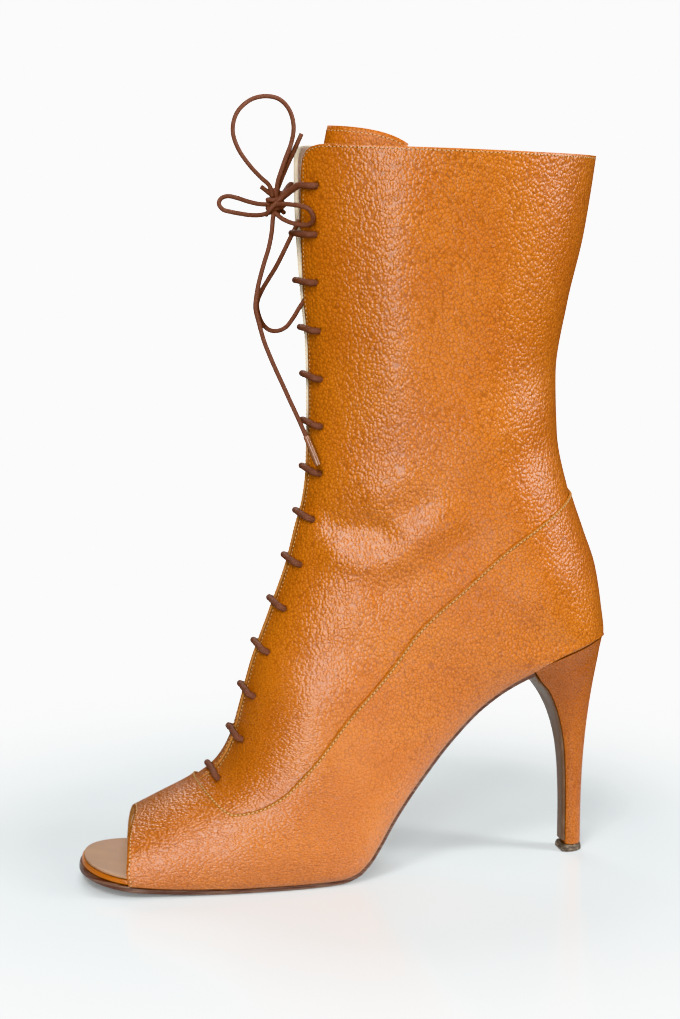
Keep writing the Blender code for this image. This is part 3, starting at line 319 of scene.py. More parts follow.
@dataclass
class Last:
    """The form the boot is built on: its bed, its sole line and the surface of its upper."""

    feather_gap: float = 0.55
    toe_tip: tuple[float, float] = (-111.0, 2.5)
    toe_round: float = 2.15
    heel_end: float = 111.9
    t_throat: float = 2.0
    t_heel: float = 12.0
    t_collar: float = 21.0
    t_panel_end: float = 16.06
    toe_blend: float = 1.5
    steps: int = 110
    cache: dict = field(default_factory=dict)

    def __post_init__(self) -> None:
        """Prepare the tracks of all tables."""
        rows = range(len(FOOT) + len(SHAFT))
        foot = columns(FOOT, *range(9))
        shaft = columns(SHAFT, *range(7))
        self.bed_z = Track(*columns(BED, 0, 1))
        self.bed_cup = Track(*columns(BED, 0, 2))
        self.edges = both_sides(EDGES)
        self.front_x = Track(rows, foot[0] + shaft[0])
        self.front_z = Track(rows, foot[1] + shaft[1])
        self.base_x = Track(rows, foot[2] + shaft[2])
        seat = float(self.bed_z(foot[2][-1])) + self.feather_gap
        self.back_z = Track(rows[len(FOOT) - 1:], [seat] + shaft[3])
        self.width = {side: Track(rows, foot[k] + shaft[4]) for k, side in enumerate(Side, 3)}
        self.widest = Track(rows, foot[5] + shaft[5])
        self.ridge_y = Track(rows, foot[6] + [0.0] * len(SHAFT))
        self.crown = Track(rows, foot[7] + [2.0] * len(SHAFT))
        self.tuck = Track(rows, foot[8] + shaft[6])
        self.counter = [Track(*columns(COUNTER, 0, k)) for k in (1, 2, 3)]
        self.counter_share = Track(*columns(COUNTER_SHARE, 0, 1))
        self.toe = both_sides(TOE_EDGE)
        self.throat = Track(*columns(THROAT, 0, 1))
        self.seam = Track(*columns(SEAM, 0, 1))

    def bed_normal(self, x: float) -> np.ndarray:
        """Give the upward normal of the bed in the side view.

        Args:
            x: Station along the foot.

        Returns:
            The x and z of the normal.
        """
        reach = 0.4
        rise = float(self.bed_z(x + reach) - self.bed_z(x - reach))
        return np.array([-rise, 2.0 * reach]) / math.hypot(rise, 2.0 * reach)

    def edge(self, x: float, side: Side) -> float:
        """Give the sole's edge.

        Args:
            x: Station along the foot.
            side: Half of the boot.

        Returns:
            The y of the edge.
        """
        track = self.edges[side]
        first, last = track.xs[0], track.xs[-1]
        tip_x, tip_y = self.toe_tip
        if x < first:
            run = min((first - x) / (first - tip_x), 1.0)
            full = (1.0 - run ** self.toe_round) ** (1.0 / self.toe_round)
            return tip_y + (side.value * track.ys[0] - tip_y) * full
        if x > last:
            run = min((x - last) / (self.heel_end - last), 1.0)
            return side.value * track.ys[-1] * math.sqrt(1.0 - run * run)
        return side.value * float(track(x))

    def inset_edge(self, x: float, side: Side, inset: float) -> float:
        """Give the sole's edge drawn in by an inset, also at the round toe and heel.

        Args:
            x: Station along the foot.
            side: Half of the boot.
            inset: Distance in from the edge.

        Returns:
            The y of the inset edge.
        """
        track = self.edges[side]
        first, last = track.xs[0], track.xs[-1]
        tip_x, tip_y = self.toe_tip
        if x < first:
            x = first - (first - x) * (first - tip_x) / (first - tip_x - inset)
            drawn_in = 1.0 - inset / abs(self.edge(first, side) - tip_y)
            return tip_y + (self.edge(x, side) - tip_y) * drawn_in
        if x > last:
            x = last + (x - last) * (self.heel_end - last) / (self.heel_end - last - inset)
            return self.edge(x, side) * (1.0 - inset / abs(self.edge(last, side)))
        return self.edge(x, side) - side.value * inset

    def bed_point(self, x: float, y: float, up: float) -> np.ndarray:
        """Give a point above the bed.

        Args:
            x: Station along the foot.
            y: Place across the foot.
            up: Height along the bed's normal.

        Returns:
            The point.
        """
        half = max(abs(self.edge(x, Side.LATERAL)), abs(self.edge(x, Side.MEDIAL)), 1.0)
        normal = self.bed_normal(x)
        lift = float(self.bed_cup(x)) * min(abs(y) / half, 1.0) ** 2
        return np.array([x + normal[0] * up, y, float(self.bed_z(x)) + lift + normal[1] * up])

    def counter_width(self, x: np.ndarray, z: np.ndarray, closed: bool) -> np.ndarray:
        """Give the counter's half width along a section.

        Args:
            x: Stations of the section's points.
            z: Heights of the section's points.
            closed: Whether the section ends on the back seam.

        Returns:
            The half widths.
        """
        width, centre, back = (track(z) for track in self.counter)
        depth = back - centre
        if closed:
            depth = depth * (x[-1] - centre[-1]) / depth[-1]
        return width * np.sqrt(1.0 - np.clip((x - centre) / depth, 0.0, 1.0) ** 2)

    def section(self, t: float, side: Side) -> Pair:
        """Give one half section of the upper.

        Args:
            t: Row of the section tables.
            side: Half of the boot.

        Returns:
            The points from the ridge down, and the running length at each.
        """
        key = (round(t, 6), side)
        if key not in self.cache:
            self.cache[key] = self.make_section(t, side)
        return self.cache[key]

    def make_section(self, t: float, side: Side) -> Pair:
        """Work out one half section.

        Args:
            t: Row of the section tables.
            side: Half of the boot.

        Returns:
            The points from the ridge down, and the running length at each.
        """
        front = np.array([float(self.front_x(t)), float(self.front_z(t))])
        base_x = float(self.base_x(t))
        foot = 0.0
        if t < self.t_heel:
            foot = abs(self.edge(base_x, side))
            base = np.array([base_x, float(self.bed_z(base_x) + self.bed_cup(base_x))])
            base = base + self.bed_normal(base_x) * self.feather_gap
        else:
            base = np.array([base_x, float(self.back_z(t))])
        width = float(self.width[side](t))
        widest = float(self.widest(t))
        crown = 2.0 / float(self.crown(t))
        tuck = 2.0 / float(self.tuck(t))
        angle = np.linspace(0.0, QUARTER, self.steps)
        cosine = np.cos(angle).clip(0.0)
        lower_s = widest + (1.0 - widest) * np.sin(angle[1:]) ** tuck
        lower_q = foot + (width - foot) * cosine[1:] ** tuck
        share = float(self.counter_share(t))
        if share > 0.0:
            along = front[None] + (base - front)[None] * lower_s[:, None]
            counter = self.counter_width(along[:, 0], along[:, 1], t >= self.t_heel)
            lower_q = lower_q + share * (counter - lower_q)
        s = np.concatenate([widest * (1.0 - cosine ** crown), lower_s])
        q = np.concatenate([width * np.sin(angle) ** crown, lower_q])
        y = float(self.ridge_y(t)) * (1.0 - s) + side.value * q
        x, z = (front + (base - front) * s[:, None]).T
        points = np.stack([x, y, z], axis=1)
        return points, running(points)

    def at(self, t: float, side: Side, distance: Union[float, np.ndarray]) -> np.ndarray:
        """Give points of the upper's surface.

        Args:
            t: Row of the section tables.
            side: Half of the boot.
            distance: One or more distances from the ridge along the section.

        Returns:
            One point for each distance.
        """
        points, lengths = self.section(t, side)
        return read(points, lengths, distance)

    def length(self, t: float, side: Side) -> float:
        """Give the length of a half section."""
        return float(self.section(t, side)[1][-1])

    def outward(self, t: float, side: Side, distance: np.ndarray) -> np.ndarray:
        """Give outward normals of the upper's surface.

        Args:
            t: Row of the section tables.
            side: Half of the boot.
            distance: Distances from the ridge along the section.

        Returns:
            One unit normal for each distance.
        """
        reach_t, reach = 0.04, 0.8
        low, high = max(t - reach_t, 0.0), min(t + reach_t, float(self.front_x.xs[-1]))
        end = self.length(t, side)
        share = distance / end
        ahead, behind = (self.at(row, side, share * self.length(row, side)) for row in (high, low))
        across = self.at(t, side, distance + reach) - self.at(t, side, distance - reach)
        top = distance < reach
        if top.any():
            near = np.array([reach])
            across[top] = self.at(t, side, near) - self.at(t, side.other, near)
        bottom = distance > end - reach
        if bottom.any() and t >= self.t_heel:
            near = np.array([end - reach])
            across[bottom] = self.at(t, side.other, near) - self.at(t, side, near)
        return unit(np.cross(across, ahead - behind) * -side.value)

    def toe_row(self, t: float, side: Side, share: float) -> float:
        """Give the row that carries a point of the grid, drawn back to the slanted toe edge.

        Args:
            t: Row of the grid.
            side: Half of the boot.
            share: Share of the way from ridge to bed.

        Returns:
            The row of the section tables.
        """
        return t + float(self.toe[side](share)) * max(1.0 - t / self.toe_blend, 0.0)

    def half_gap(self, t: float) -> float:
        """Give half the throat's width at a row."""
        return 0.0 if t <= self.t_throat else float(self.throat(t))

    def seam_distance(self, t: float, side: Side) -> float:
        """Give the panel seam's distance from the ridge.

        Args:
            t: Row of the section tables.
            side: Half of the boot.

        Returns:
            The distance along the section.
        """
        points, lengths = self.section(max(t, self.t_throat), side)
        above = points[:, 2] - self.seam(points[:, 0])
        if t >= self.t_panel_end or above.min() >= 0.0:
            return self.length(t, side)
        after = int(np.argmax(above < 0.0))
        share = above[after - 1] / (above[after - 1] - above[after])
        return float(lengths[after - 1] + share * (lengths[after] - lengths[after - 1]))

    def edge_run(self, rows: np.ndarray) -> np.ndarray:
        """Give the running length of the lacing edge at each row."""
        return running(np.array([self.at(t, Side.LATERAL, self.half_gap(t)) for t in rows]))

    def even_rows(self, start: float, end: float, pitch: float) -> np.ndarray:
        """Space rows evenly along the lacing edge.

        Args:
            start: First row.
            end: Last row.
            pitch: Wanted distance between rows.

        Returns:
            The rows.
        """
        rows = np.linspace(start, end, 400)
        run = self.edge_run(rows)
        return np.interp(np.linspace(0.0, run[-1], int(round(run[-1] / pitch)) + 1), run, rows)


@dataclass(frozen=True)
class Fold:
    """One soft crease of the leather, seen from the side, with negative height for a trough."""

    start: tuple[float, float]
    end: tuple[float, float]
    width: float
    height: float
    beyond: float = 0.15
    fade: float = 0.4

    def lift(self, points: np.ndarray) -> np.ndarray:
        """Give how far the fold lifts the leather.

        Args:
            points: Points in millimetres.

        Returns:
            The lift at each point.
        """
        a = np.array(self.start)
        run = np.array(self.end) - a
        spot = points[..., [0, 2]] - a
        share = np.clip((spot @ run) / (run @ run), -self.beyond, 1.0 + self.beyond)
        gap = np.linalg.norm(spot - share[..., None] * run, axis=-1)
        ends = ease((share + self.beyond) / self.fade) * ease((1.0 + self.beyond - share) / self.fade)
        return self.height * ends * np.exp(-(gap / self.width) ** 2)


@dataclass
class Creases:
    """The folds worn into the shaft over the ankle and across the vamp."""

    lateral: tuple[Fold, ...] = (
        Fold((-13.0, 138.0), (8.0, 130.5), 6.0, 1.5),
        Fold((-14.0, 149.0), (16.0, 145.0), 5.5, -1.9),
        Fold((8.0, 130.0), (41.0, 155.5), 7.0, 1.8),
        Fold((4.0, 119.0), (28.0, 128.0), 7.0, -0.9),
        Fold((28.0, 128.0), (50.0, 146.0), 7.0, -1.3),
        Fold((48.0, 166.0), (86.0, 178.0), 9.0, -0.7),
        Fold((40.0, 180.0), (84.0, 194.0), 10.0, 0.4),
        Fold((46.0, 200.0), (88.0, 210.0), 10.0, -0.4),
        Fold((2.0, 158.0), (24.0, 172.0), 6.5, 1.0),
        Fold((16.0, 150.0), (30.0, 160.0), 5.0, -0.8),
        Fold((17.0, 182.0), (13.0, 296.0), 11.0, 1.3),
        Fold((38.0, 190.0), (40.0, 292.0), 14.0, -1.1),
        Fold((74.0, 226.0), (84.0, 286.0), 11.0, 0.6),
        Fold((-30.0, 92.0), (4.0, 100.0), 7.0, -0.6),
        Fold((-26.0, 74.0), (8.0, 84.0), 7.0, 0.5),
        Fold((-60.0, 18.0), (-10.0, 14.0), 6.0, 0.5),
        Fold((66.0, 112.0), (88.0, 128.0), 10.0, 0.6),
    )
    medial: tuple[Fold, ...] = (
        Fold((-8.0, 156.0), (30.0, 162.0), 6.5, -1.0),
        Fold((-10.0, 142.0), (26.0, 150.0), 7.0, 0.9),
        Fold((32.0, 160.0), (84.0, 184.0), 7.0, -1.1),
        Fold((36.0, 178.0), (86.0, 198.0), 8.0, 0.8),
        Fold((12.0, 204.0), (26.0, 288.0), 14.0, 0.7),
        Fold((46.0, 218.0), (58.0, 284.0), 13.0, -0.7),
        Fold((-28.0, 88.0), (6.0, 98.0), 7.0, -0.6),
        Fold((66.0, 110.0), (88.0, 126.0), 10.0, 0.6),
    )
    calm_half: float = 2.0
    calm_run: float = 14.0

    def lift(self, points: np.ndarray, side: Side) -> np.ndarray:
        """Give the lift of all folds, which die out towards the middle line.

        Args:
            points: Points in millimetres.
            side: Half of the boot.

        Returns:
            The lift at each point.
        """
        folds = self.lateral if side is Side.LATERAL else self.medial
        total = sum(fold.lift(points) for fold in folds)
        return total * ease((np.abs(points[..., 1]) - self.calm_half) / self.calm_run)


def lay_grid(shape: Shape, points: np.ndarray, outward: bool = True) -> list[bmesh.types.BMVert]:
    """Lay a grid of faces over an array of points.

    Args:
        shape: The mesh that takes the grid.
        points: Rows and columns of points in millimetres.
        outward: Keep the grid's own facing, or turn it round.

    Returns:
        The new vertices, row by row.
    """
    if not outward:
        points = points[:, ::-1]
    rows, cols = points.shape[:2]
    made = bmesh.ops.create_grid(shape, x_segments=cols - 1, y_segments=rows - 1, size=0.5)["verts"]
    for vert, spot in zip(made, placed(points).reshape(-1, 3)):
        vert.co = spot
    return made


def close_ends(shape: Shape) -> None:
    """Fill the open ends of a tube and turn its faces out.

    Args:
        shape: The mesh.
    """
    bmesh.ops.remove_doubles(shape, verts=shape.verts, dist=CORD_WELD)
    bmesh.ops.holes_fill(shape, edges=[edge for edge in shape.edges if edge.is_boundary], sides=0)
    bmesh.ops.recalc_face_normals(shape, faces=shape.faces)


def loft(shape: Shape, rings: np.ndarray) -> None:
    """Skin a closed body over rings of points.

    Args:
        shape: The mesh that takes the body.
        rings: Rings of points in millimetres, each open, in order.
    """
    lay_grid(shape, np.concatenate([rings, rings[:, :1]], axis=1))
    close_ends(shape)


def sharpen(shape: Shape, degrees: float) -> None:
    """Smooth all faces, and keep edges sharp where faces meet at more than an angle.

    Args:
        shape: The mesh.
        degrees: The angle.
    """
    for face in shape.faces:
        face.smooth = True
    for edge in shape.edges:
        if len(edge.link_faces) == 2:
            edge.smooth = edge.calc_face_angle() < math.radians(degrees)


def settle(
    name: str,
    shape: Shape,
    finishes: Sequence["Finish"],
    replaces: Sequence[str] = (),
) -> bpy.types.Object:
    """Make a finished piece of a mesh and let it ride on the boot.

    Args:
        name: The piece's name.
        shape: The mesh, which is used up.
        finishes: Finishes in the order of the mesh's material numbers.
        replaces: Nodes that the piece stands for.

    Returns:
        The piece.
    """
    mesh = bpy.data.meshes.new(name)
    shape.to_mesh(mesh)
    shape.free()
    for finish in finishes:
        mesh.materials.append(finish.material())
    piece = bpy.data.objects.new(name, mesh)
    bpy.context.scene.collection.objects.link(piece)
    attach(piece, BODY)
    if replaces:
        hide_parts(*replaces)
    log.info("%s: %d faces", name, len(mesh.polygons))
    return piece


def make_body(
    name: str,
    rings: Sequence[np.ndarray],
    degrees: float,
    finishes: Sequence["Finish"],
    slot: Slot,
    replaces: Sequence[str] = (),
) -> bpy.types.Object:
    """Make a closed piece over rings of points.

    Args:
        name: The piece's name.
        rings: Rings of points in millimetres, each open, in order.
        degrees: Angle from which its edges stay sharp.
        finishes: Its finish, and one more for an underside of its own.
        slot: Not used.
        replaces: Nodes that the piece stands for.

    Returns:
        The piece.
    """
    shape = bmesh.new()
    loft(shape, np.array(rings))
    sharpen(shape, degrees)
    if len(finishes) > 1:
        for face in shape.faces:
            face.material_index = 1 if face.normal.z < UNDERSIDE else 0
    return settle(name, shape, finishes, replaces)


def thicken(piece: bpy.types.Object, thickness: float, inner: int, rim: int) -> None:
    """Give a sheet its thickness inwards.

    Args:
        piece: The sheet.
        thickness: Millimetres.
        inner: Material step of the inside.
        rim: Material step of the edge.
    """
    wall = piece.modifiers.new("wall", "SOLIDIFY")
    wall.thickness = thickness * MM
    wall.offset = -1.0
    wall.use_rim = True
    wall.material_offset = inner
    wall.material_offset_rim = rim


class Graph:
    """A material's nodes, put together step by step."""

    def __init__(self, name: str) -> None:
        """Start a material.

        Args:
            name: The material's name.
        """
        self.made = bpy.data.materials.new(name)
        self.made.use_nodes = True
        self.tree = self.made.node_tree
        self.shader = self.tree.nodes["Principled BSDF"]

    def put(self, node: bpy.types.Node, socket: Union[str, int], value: Value) -> None:
        """Set or link an input.

        Args:
            node: The node.
            socket: Name or number of its input.
            value: A number, a colour or another node's output.
        """
        if isinstance(value, Socket):
            self.tree.links.new(value, node.inputs[socket])
        elif isinstance(value, (tuple, list)) and len(value) == 3 and node.inputs[socket].type == "RGBA":
            node.inputs[socket].default_value = (*value, 1.0)
        else:
            node.inputs[socket].default_value = value

    def node(self, kind: str, out: Union[str, int], inputs: dict, **settings: object) -> Socket:
        """Add a node.

        Args:
            kind: The node's type.
            out: Name or number of the wanted output.
            inputs: Values by input.
            settings: Properties of the node.

        Returns:
            The output.
        """
        made = self.tree.nodes.new(kind)
        for key, value in settings.items():
            setattr(made, key, value)
        for socket, value in inputs.items():
            self.put(made, socket, value)
        return made.outputs[out]

    def spot(self, stretch: Triple = (1.0, 1.0, 1.0), turn: Triple = (0.0, 0.0, 0.0)) -> Socket:
        """Give the place on the object in millimetres.

        Args:
            stretch: Scale of each axis.
            turn: Turn about each axis in radians.

        Returns:
            The vector.
        """
        raw = self.node("ShaderNodeTexCoord", "Object", {})
        scale = tuple(value / MM for value in stretch)
        return self.node("ShaderNodeMapping", 0, {"Vector": raw, "Rotation": turn, "Scale": scale})

    def noise(self, where: Value, size: float, detail: float = 2.0) -> Socket:
        """Add soft noise.

        Args:
            where: The vector.
            size: Size of its patches in millimetres.
            detail: Number of finer octaves.

        Returns:
            The noise from 0 to 1.
        """
        return self.node("ShaderNodeTexNoise", 0, {"Vector": where, "Scale": 1.0 / size, "Detail": detail})

    def cells(self, where: Value, size: float, feature: str = "DISTANCE_TO_EDGE") -> Socket:
        """Add cells.

        Args:
            where: The vector.
            size: Size of a cell in millimetres.
            feature: What is measured in each cell.

        Returns:
            The distance.
        """
        return self.node("ShaderNodeTexVoronoi", 0, {"Vector": where, "Scale": 1.0 / size}, feature=feature)

    def step(self, value: Value, low: float, high: float, bottom: float = 0.0, top: float = 1.0) -> Socket:
        """Ease a value between two limits.

        Args:
            value: The value.
            low: Where it starts.
            high: Where it ends.
            bottom: Result at the start.
            top: Result at the end.

        Returns:
            The eased value.
        """
        inputs = {"Value": value, "From Min": low, "From Max": high, "To Min": bottom, "To Max": top}
        return self.node("ShaderNodeMapRange", 0, inputs, interpolation_type="SMOOTHSTEP")

    def sum(self, a: Value, b: Value, kind: str = "ADD") -> Socket:
        """Combine two numbers.

        Args:
            a: First number.
            b: Second number.
            kind: The operation.

        Returns:
            The result.
        """
        return self.node("ShaderNodeMath", 0, {0: a, 1: b}, operation=kind)

    def share(self, value: Value, part: float) -> Socket:
        """Give a part of a value."""
        return self.sum(value, part, "MULTIPLY")

    def warp(self, where: Value, size: float, reach: float) -> Socket:
        """Shift a place about by noise.

        Args:
            where: The vector.
            size: Size of the noise in millimetres.
            reach: Distance of the shift in millimetres.

        Returns:
            The shifted vector.
        """
        raw = self.node("ShaderNodeTexNoise", "Color", {"Vector": where, "Scale": 1.0 / size, "Detail": 1.0})
        middle = self.node("ShaderNodeVectorMath", 0, {0: raw, 1: (-0.5, -0.5, -0.5)}, operation="ADD")
        far = self.node("ShaderNodeVectorMath", 0, {0: middle, "Scale": reach * 2.0}, operation="SCALE")
        return self.node("ShaderNodeVectorMath", 0, {0: where, 1: far}, operation="ADD")

    def near(self, where: Value, centre: Sequence[float], inner: float, outer: float) -> Socket:
        """Give a soft round patch.

        Args:
            where: The vector.
            centre: Middle of the patch in millimetres of the shared frame.
            inner: Radius where it is full.
            outer: Radius where it ends.

        Returns:
            The patch from 0 to 1.
        """
        far = self.node("ShaderNodeVectorMath", "Value", {0: where, 1: tuple(centre)}, operation="DISTANCE")
        return self.step(far, inner, outer, 1.0, 0.0)

    def mix(self, share: Value, a: Value, b: Value, kind: str = "MIX") -> Socket:
        """Mix two colours.

        Args:
            share: Share of the second colour.
            a: First colour.
            b: Second colour.
            kind: How they mix.

        Returns:
            The colour.
        """
        made = self.tree.nodes.new("ShaderNodeMix")
        made.data_type = "RGBA"
        made.blend_type = kind
        self.put(made, 0, share)
        self.put(made, 6, a)
        self.put(made, 7, b)
        return made.outputs[2]

    def bump(self, height: Value, depth: float, socket: str = "Normal") -> None:
        """Bump the surface.

        Args:
            height: Height from 0 to 1.
            depth: Depth of the bump in millimetres.
            socket: The shader's input.
        """
        inputs = {"Height": height, "Distance": depth * MM, "Strength": 1.0}
        self.put(self.shader, socket, self.node("ShaderNodeBump", 0, inputs))

    def dress(self, **sockets: Value) -> bpy.types.Material:
        """Set the shader's inputs.

        Args:
            sockets: Values by input name, with underscores for spaces.

        Returns:
            The material.
        """
        for name, value in sockets.items():
            self.put(self.shader, name.replace("_", " "), value)
        return self.made


@dataclass(frozen=True)
class Finish:
    """A surface finish with one shared material."""

    name: str = "finish"

    def material(self) -> bpy.types.Material:
        """Give the finish's material, made once."""
        return bpy.data.materials.get(self.name) or self.wire(Graph(self.name))

    def wire(self, graph: Graph) -> bpy.types.Material:
        """Put the material's nodes together.

        Args:
            graph: The new material.

        Returns:
            The material.
        """
        return graph.dress(Base_Color=(0.5, 0.5, 0.5))


@dataclass(frozen=True)
class GrainLeather(Finish):
    """Pebbled orange-tan leather, with painted shade in the hollows and creases between its grains and over
    the vamp.
    """

    name: str = "grained_leather"
    base: Triple = (0.53, 0.150, 0.014)
    deep: Triple = (0.22, 0.050, 0.006)
    pale: Triple = (0.58, 0.178, 0.018)
    grain: float = 1.3
    relief: float = 0.24
    gloss: float = 0.28
    shine: float = 1.0
    patch_share: float = 0.10
    # Shares of painted shade in the grains' hollows and along their creases
    hollow_shade_share: float = 0.07
    crease_shade_share: float = 0.62
    # Share of painted shade over the vamp
    vamp_shade_share: float = 0.16
    fine_share: float = 0.25
    swell_share: float = 0.35
    coat_share: float = 0.60

    def pebbles(self, graph: Graph, stretch: Triple, slant: float) -> tuple[Socket, Socket]:
        """Add rounded grains drawn out in one direction.

        Args:
            graph: The material.
            stretch: Scale of each axis.
            slant: Turn in the side view in radians.

        Returns:
            The grains' height and the distance from their creases.
        """
        drawn = graph.warp(graph.spot(stretch, (0.0, slant, 0.0)), 3.4, 0.9)
        dome = graph.step(graph.cells(drawn, self.grain, "F1"), 0.80, 0.15)
        return dome, graph.step(graph.cells(drawn, self.grain), 0.0, 0.15)

    def wire(self, graph: Graph) -> bpy.types.Material:
        """Wire the grain under a glossy coat, with painted shade in its hollows and creases and over the
        vamp.

        Args:
            graph: The new material.

        Returns:
            The material.
        """
        place = graph.spot()
        # The vamp's patch turns the grain into long wrinkles and carries painted shade
        vamp = graph.near(graph.warp(place, 30.0, 20.0), (-62.0, -16.0, 22.0), 40.0, 100.0)
        dome, edge = self.pebbles(graph, (1.0, 1.0, 0.86), 0.4)
        long_dome, long_edge = self.pebbles(graph, (0.85, 1.10, 1.65), -0.2)
        height = graph.mix(vamp, dome, long_dome)
        crease = graph.mix(vamp, edge, long_edge)
        fine = graph.noise(place, 0.4, 2.0)
        swell = graph.noise(place, 3.4, 1.0)
        cloud = graph.noise(place, 30.0, 3.0)
        patch = graph.step(graph.noise(place, 6.0, 3.0), 0.42, 0.75)
        tone = graph.mix(graph.step(cloud, 0.35, 0.68), self.base, self.pale)
        tone = graph.mix(graph.share(patch, self.patch_share), tone, self.deep)
        # Painted shade: the tone darkens in the grains' hollows and along their creases
        tone = graph.mix(graph.step(height, 0.0, 0.45, self.hollow_shade_share, 0.0), tone, self.deep)
        tone = graph.mix(graph.step(crease, 0.0, 1.0, self.crease_shade_share, 0.0), tone, self.deep)
        # Painted shade: the vamp, turned down from the light, is darkened
        tone = graph.mix(graph.share(vamp, self.vamp_shade_share), tone, self.deep)
        relief = graph.sum(height, graph.share(fine, self.fine_share))
        relief = graph.sum(relief, graph.share(swell, self.swell_share))
        graph.bump(relief, self.relief)
        graph.bump(relief, self.relief * self.coat_share, "Coat Normal")
        rough = graph.step(height, 0.1, 0.7, 0.64, 0.52)
        return graph.dress(
            Base_Color=tone, Roughness=rough, Specular_IOR_Level=0.15,
            Coat_Weight=self.shine, Coat_Roughness=self.gloss + 0.05, Coat_IOR=1.62,
        )


@dataclass(frozen=True)
class Lining(Finish):
    """Smooth cream lining leather, soiled in patches."""

    name: str = "lining_leather"
    clean: Triple = (0.88, 0.84, 0.76)
    soiled: Triple = (0.62, 0.53, 0.40)
    gloss: float = 0.62

    def wire(self, graph: Graph) -> bpy.types.Material:
        """Wire the lining.

        Args:
            graph: The new material.

        Returns:
            The material.
        """
        place = graph.spot()
        soil = graph.step(graph.noise(place, 16.0, 4.0), 0.45, 0.75)
        pores = graph.noise(place, 0.35, 3.0)
        tone = graph.mix(graph.share(soil, 0.45), self.clean, self.soiled)
        graph.bump(pores, 0.06)
        return graph.dress(Base_Color=tone, Roughness=self.gloss)


@dataclass(frozen=True)
class CutEdge(Finish):
    """Raw cut edge of the leather with its fibres, pale cream near the lacing: partly the lining's own
    cream, partly painted light through the throat's gap.
    """

    name: str = "cut_edge"
    base: Triple = (0.52, 0.24, 0.07)
    deep: Triple = (0.32, 0.12, 0.03)
    gap_lit_pale: Triple = (0.78, 0.70, 0.56)

    def wire(self, graph: Graph) -> bpy.types.Material:
        """Wire the edge.

        Args:
            graph: The new material.

        Returns:
            The material.
        """
        fibre = graph.noise(graph.spot(), 0.5, 4.0)
        tone = graph.mix(graph.step(fibre, 0.35, 0.7), self.base, self.deep)
        # Painted light: near the lacing the edge turns pale cream, as if lit through the throat's gap
        tone = graph.mix(graph.near(graph.spot(), (-20.0, -3.7, 262.0), 60.0, 95.0), tone, self.gap_lit_pale)
        graph.bump(fibre, 0.12)
        return graph.dress(Base_Color=tone, Roughness=0.75)


@dataclass(frozen=True)
class SmoothCover(Finish):
    """Smooth, finely scratched covering in one hue."""

    name: str = "breast_cover"
    base: Triple = (0.115, 0.062, 0.036)
    worn: Triple = (0.19, 0.120, 0.080)
    patch: float = 9.0
    gloss: float = 0.45
    relief: float = 0.08

    def wire(self, graph: Graph) -> bpy.types.Material:
        """Wire the cover.

        Args:
            graph: The new material.

        Returns:
            The material.
        """
        place = graph.spot()
        wear = graph.step(graph.noise(place, self.patch, 4.0), 0.4, 0.7)
        lines = graph.noise(graph.spot((1.0, 1.0, 0.12)), 0.45, 3.0)
        tone = graph.mix(graph.share(wear, 0.7), self.base, self.worn)
        tone = graph.mix(graph.step(lines, 0.6, 0.8, 0.0, 0.35), tone, self.worn)
        graph.bump(lines, self.relief)
        rough = graph.step(wear, 0.0, 1.0, self.gloss, self.gloss + 0.15)
        return graph.dress(Base_Color=tone, Roughness=rough)


@dataclass(frozen=True)
class StackedEdge(Finish):
    """Stained sole edge in layers, paler and scuffed towards the ground."""

    name: str = "sole_edge"
    dark: Triple = (0.085, 0.032, 0.022)
    pale: Triple = (0.21, 0.125, 0.09)

    def wire(self, graph: Graph) -> bpy.types.Material:
        """Wire the edge.

        Args:
            graph: The new material.

        Returns:
            The material.
        """
        place = graph.spot()
        layers = graph.noise(graph.spot((0.04, 0.04, 1.0)), 0.55, 2.0)
        scuff = graph.noise(graph.spot((0.25, 0.25, 1.0)), 1.3, 4.0)
        height = graph.node("ShaderNodeSeparateXYZ", "Z", {"Vector": place})
        foot = graph.step(height, 1.3, 0.5)
        tone = graph.mix(graph.step(layers, 0.35, 0.75), self.dark, self.pale)
        tone = graph.mix(graph.sum(foot, graph.step(scuff, 0.3, 0.6), "MULTIPLY"), tone, self.pale)
        graph.bump(layers, 0.12)
        return graph.dress(Base_Color=tone, Roughness=0.42)


@dataclass(frozen=True)
class Cord(Finish):
    """Round waxed lace with a fine braid along its own map."""

    name: str = "lace_cord"
    base: Triple = (0.225, 0.098, 0.068)
    deep: Triple = (0.105, 0.042, 0.028)
    fuzz: Triple = (0.31, 0.15, 0.11)
    slant: float = 0.78

    def wire(self, graph: Graph) -> bpy.types.Material:
        """Wire the braid.

        Args:
            graph: The new material.

        Returns:
            The material.
        """
        chart = graph.node("ShaderNodeTexCoord", "UV", {})
        waves = []
        for slant in (self.slant, -self.slant):
            place = graph.node("ShaderNodeMapping", 0, {"Vector": chart, "Rotation": (0.0, 0.0, slant)})
            inputs = {"Vector": place, "Scale": 1.1, "Distortion": 0.6}
            waves.append(graph.node("ShaderNodeTexWave", 1, inputs))
        braid = graph.sum(waves[0], waves[1], "MAXIMUM")
        fuzz = graph.noise(graph.spot(), 0.5, 3.0)
        tone = graph.mix(graph.step(braid, 0.2, 0.9), self.deep, self.base)
        tone = graph.mix(graph.step(fuzz, 0.45, 0.8, 0.0, 0.5), tone, self.fuzz)
        graph.bump(graph.sum(braid, graph.share(fuzz, 0.4)), 0.10)
        return graph.dress(Base_Color=tone, Roughness=0.62, Specular_IOR_Level=0.3)


@dataclass(frozen=True)
class Thread(Finish):
    """Cream sewing thread."""

    name: str = "sewing_thread"
    base: Triple = (0.72, 0.54, 0.31)

    def wire(self, graph: Graph) -> bpy.types.Material:
        """Wire the twist.

        Args:
            graph: The new material.

        Returns:
            The material.
        """
        twist = graph.noise(graph.spot(), 0.3, 2.0)
        shade = tuple(0.72 * value for value in self.base)
        tone = graph.mix(graph.step(twist, 0.3, 0.7), self.base, shade)
        graph.bump(twist, 0.08)
        return graph.dress(Base_Color=tone, Roughness=0.6)


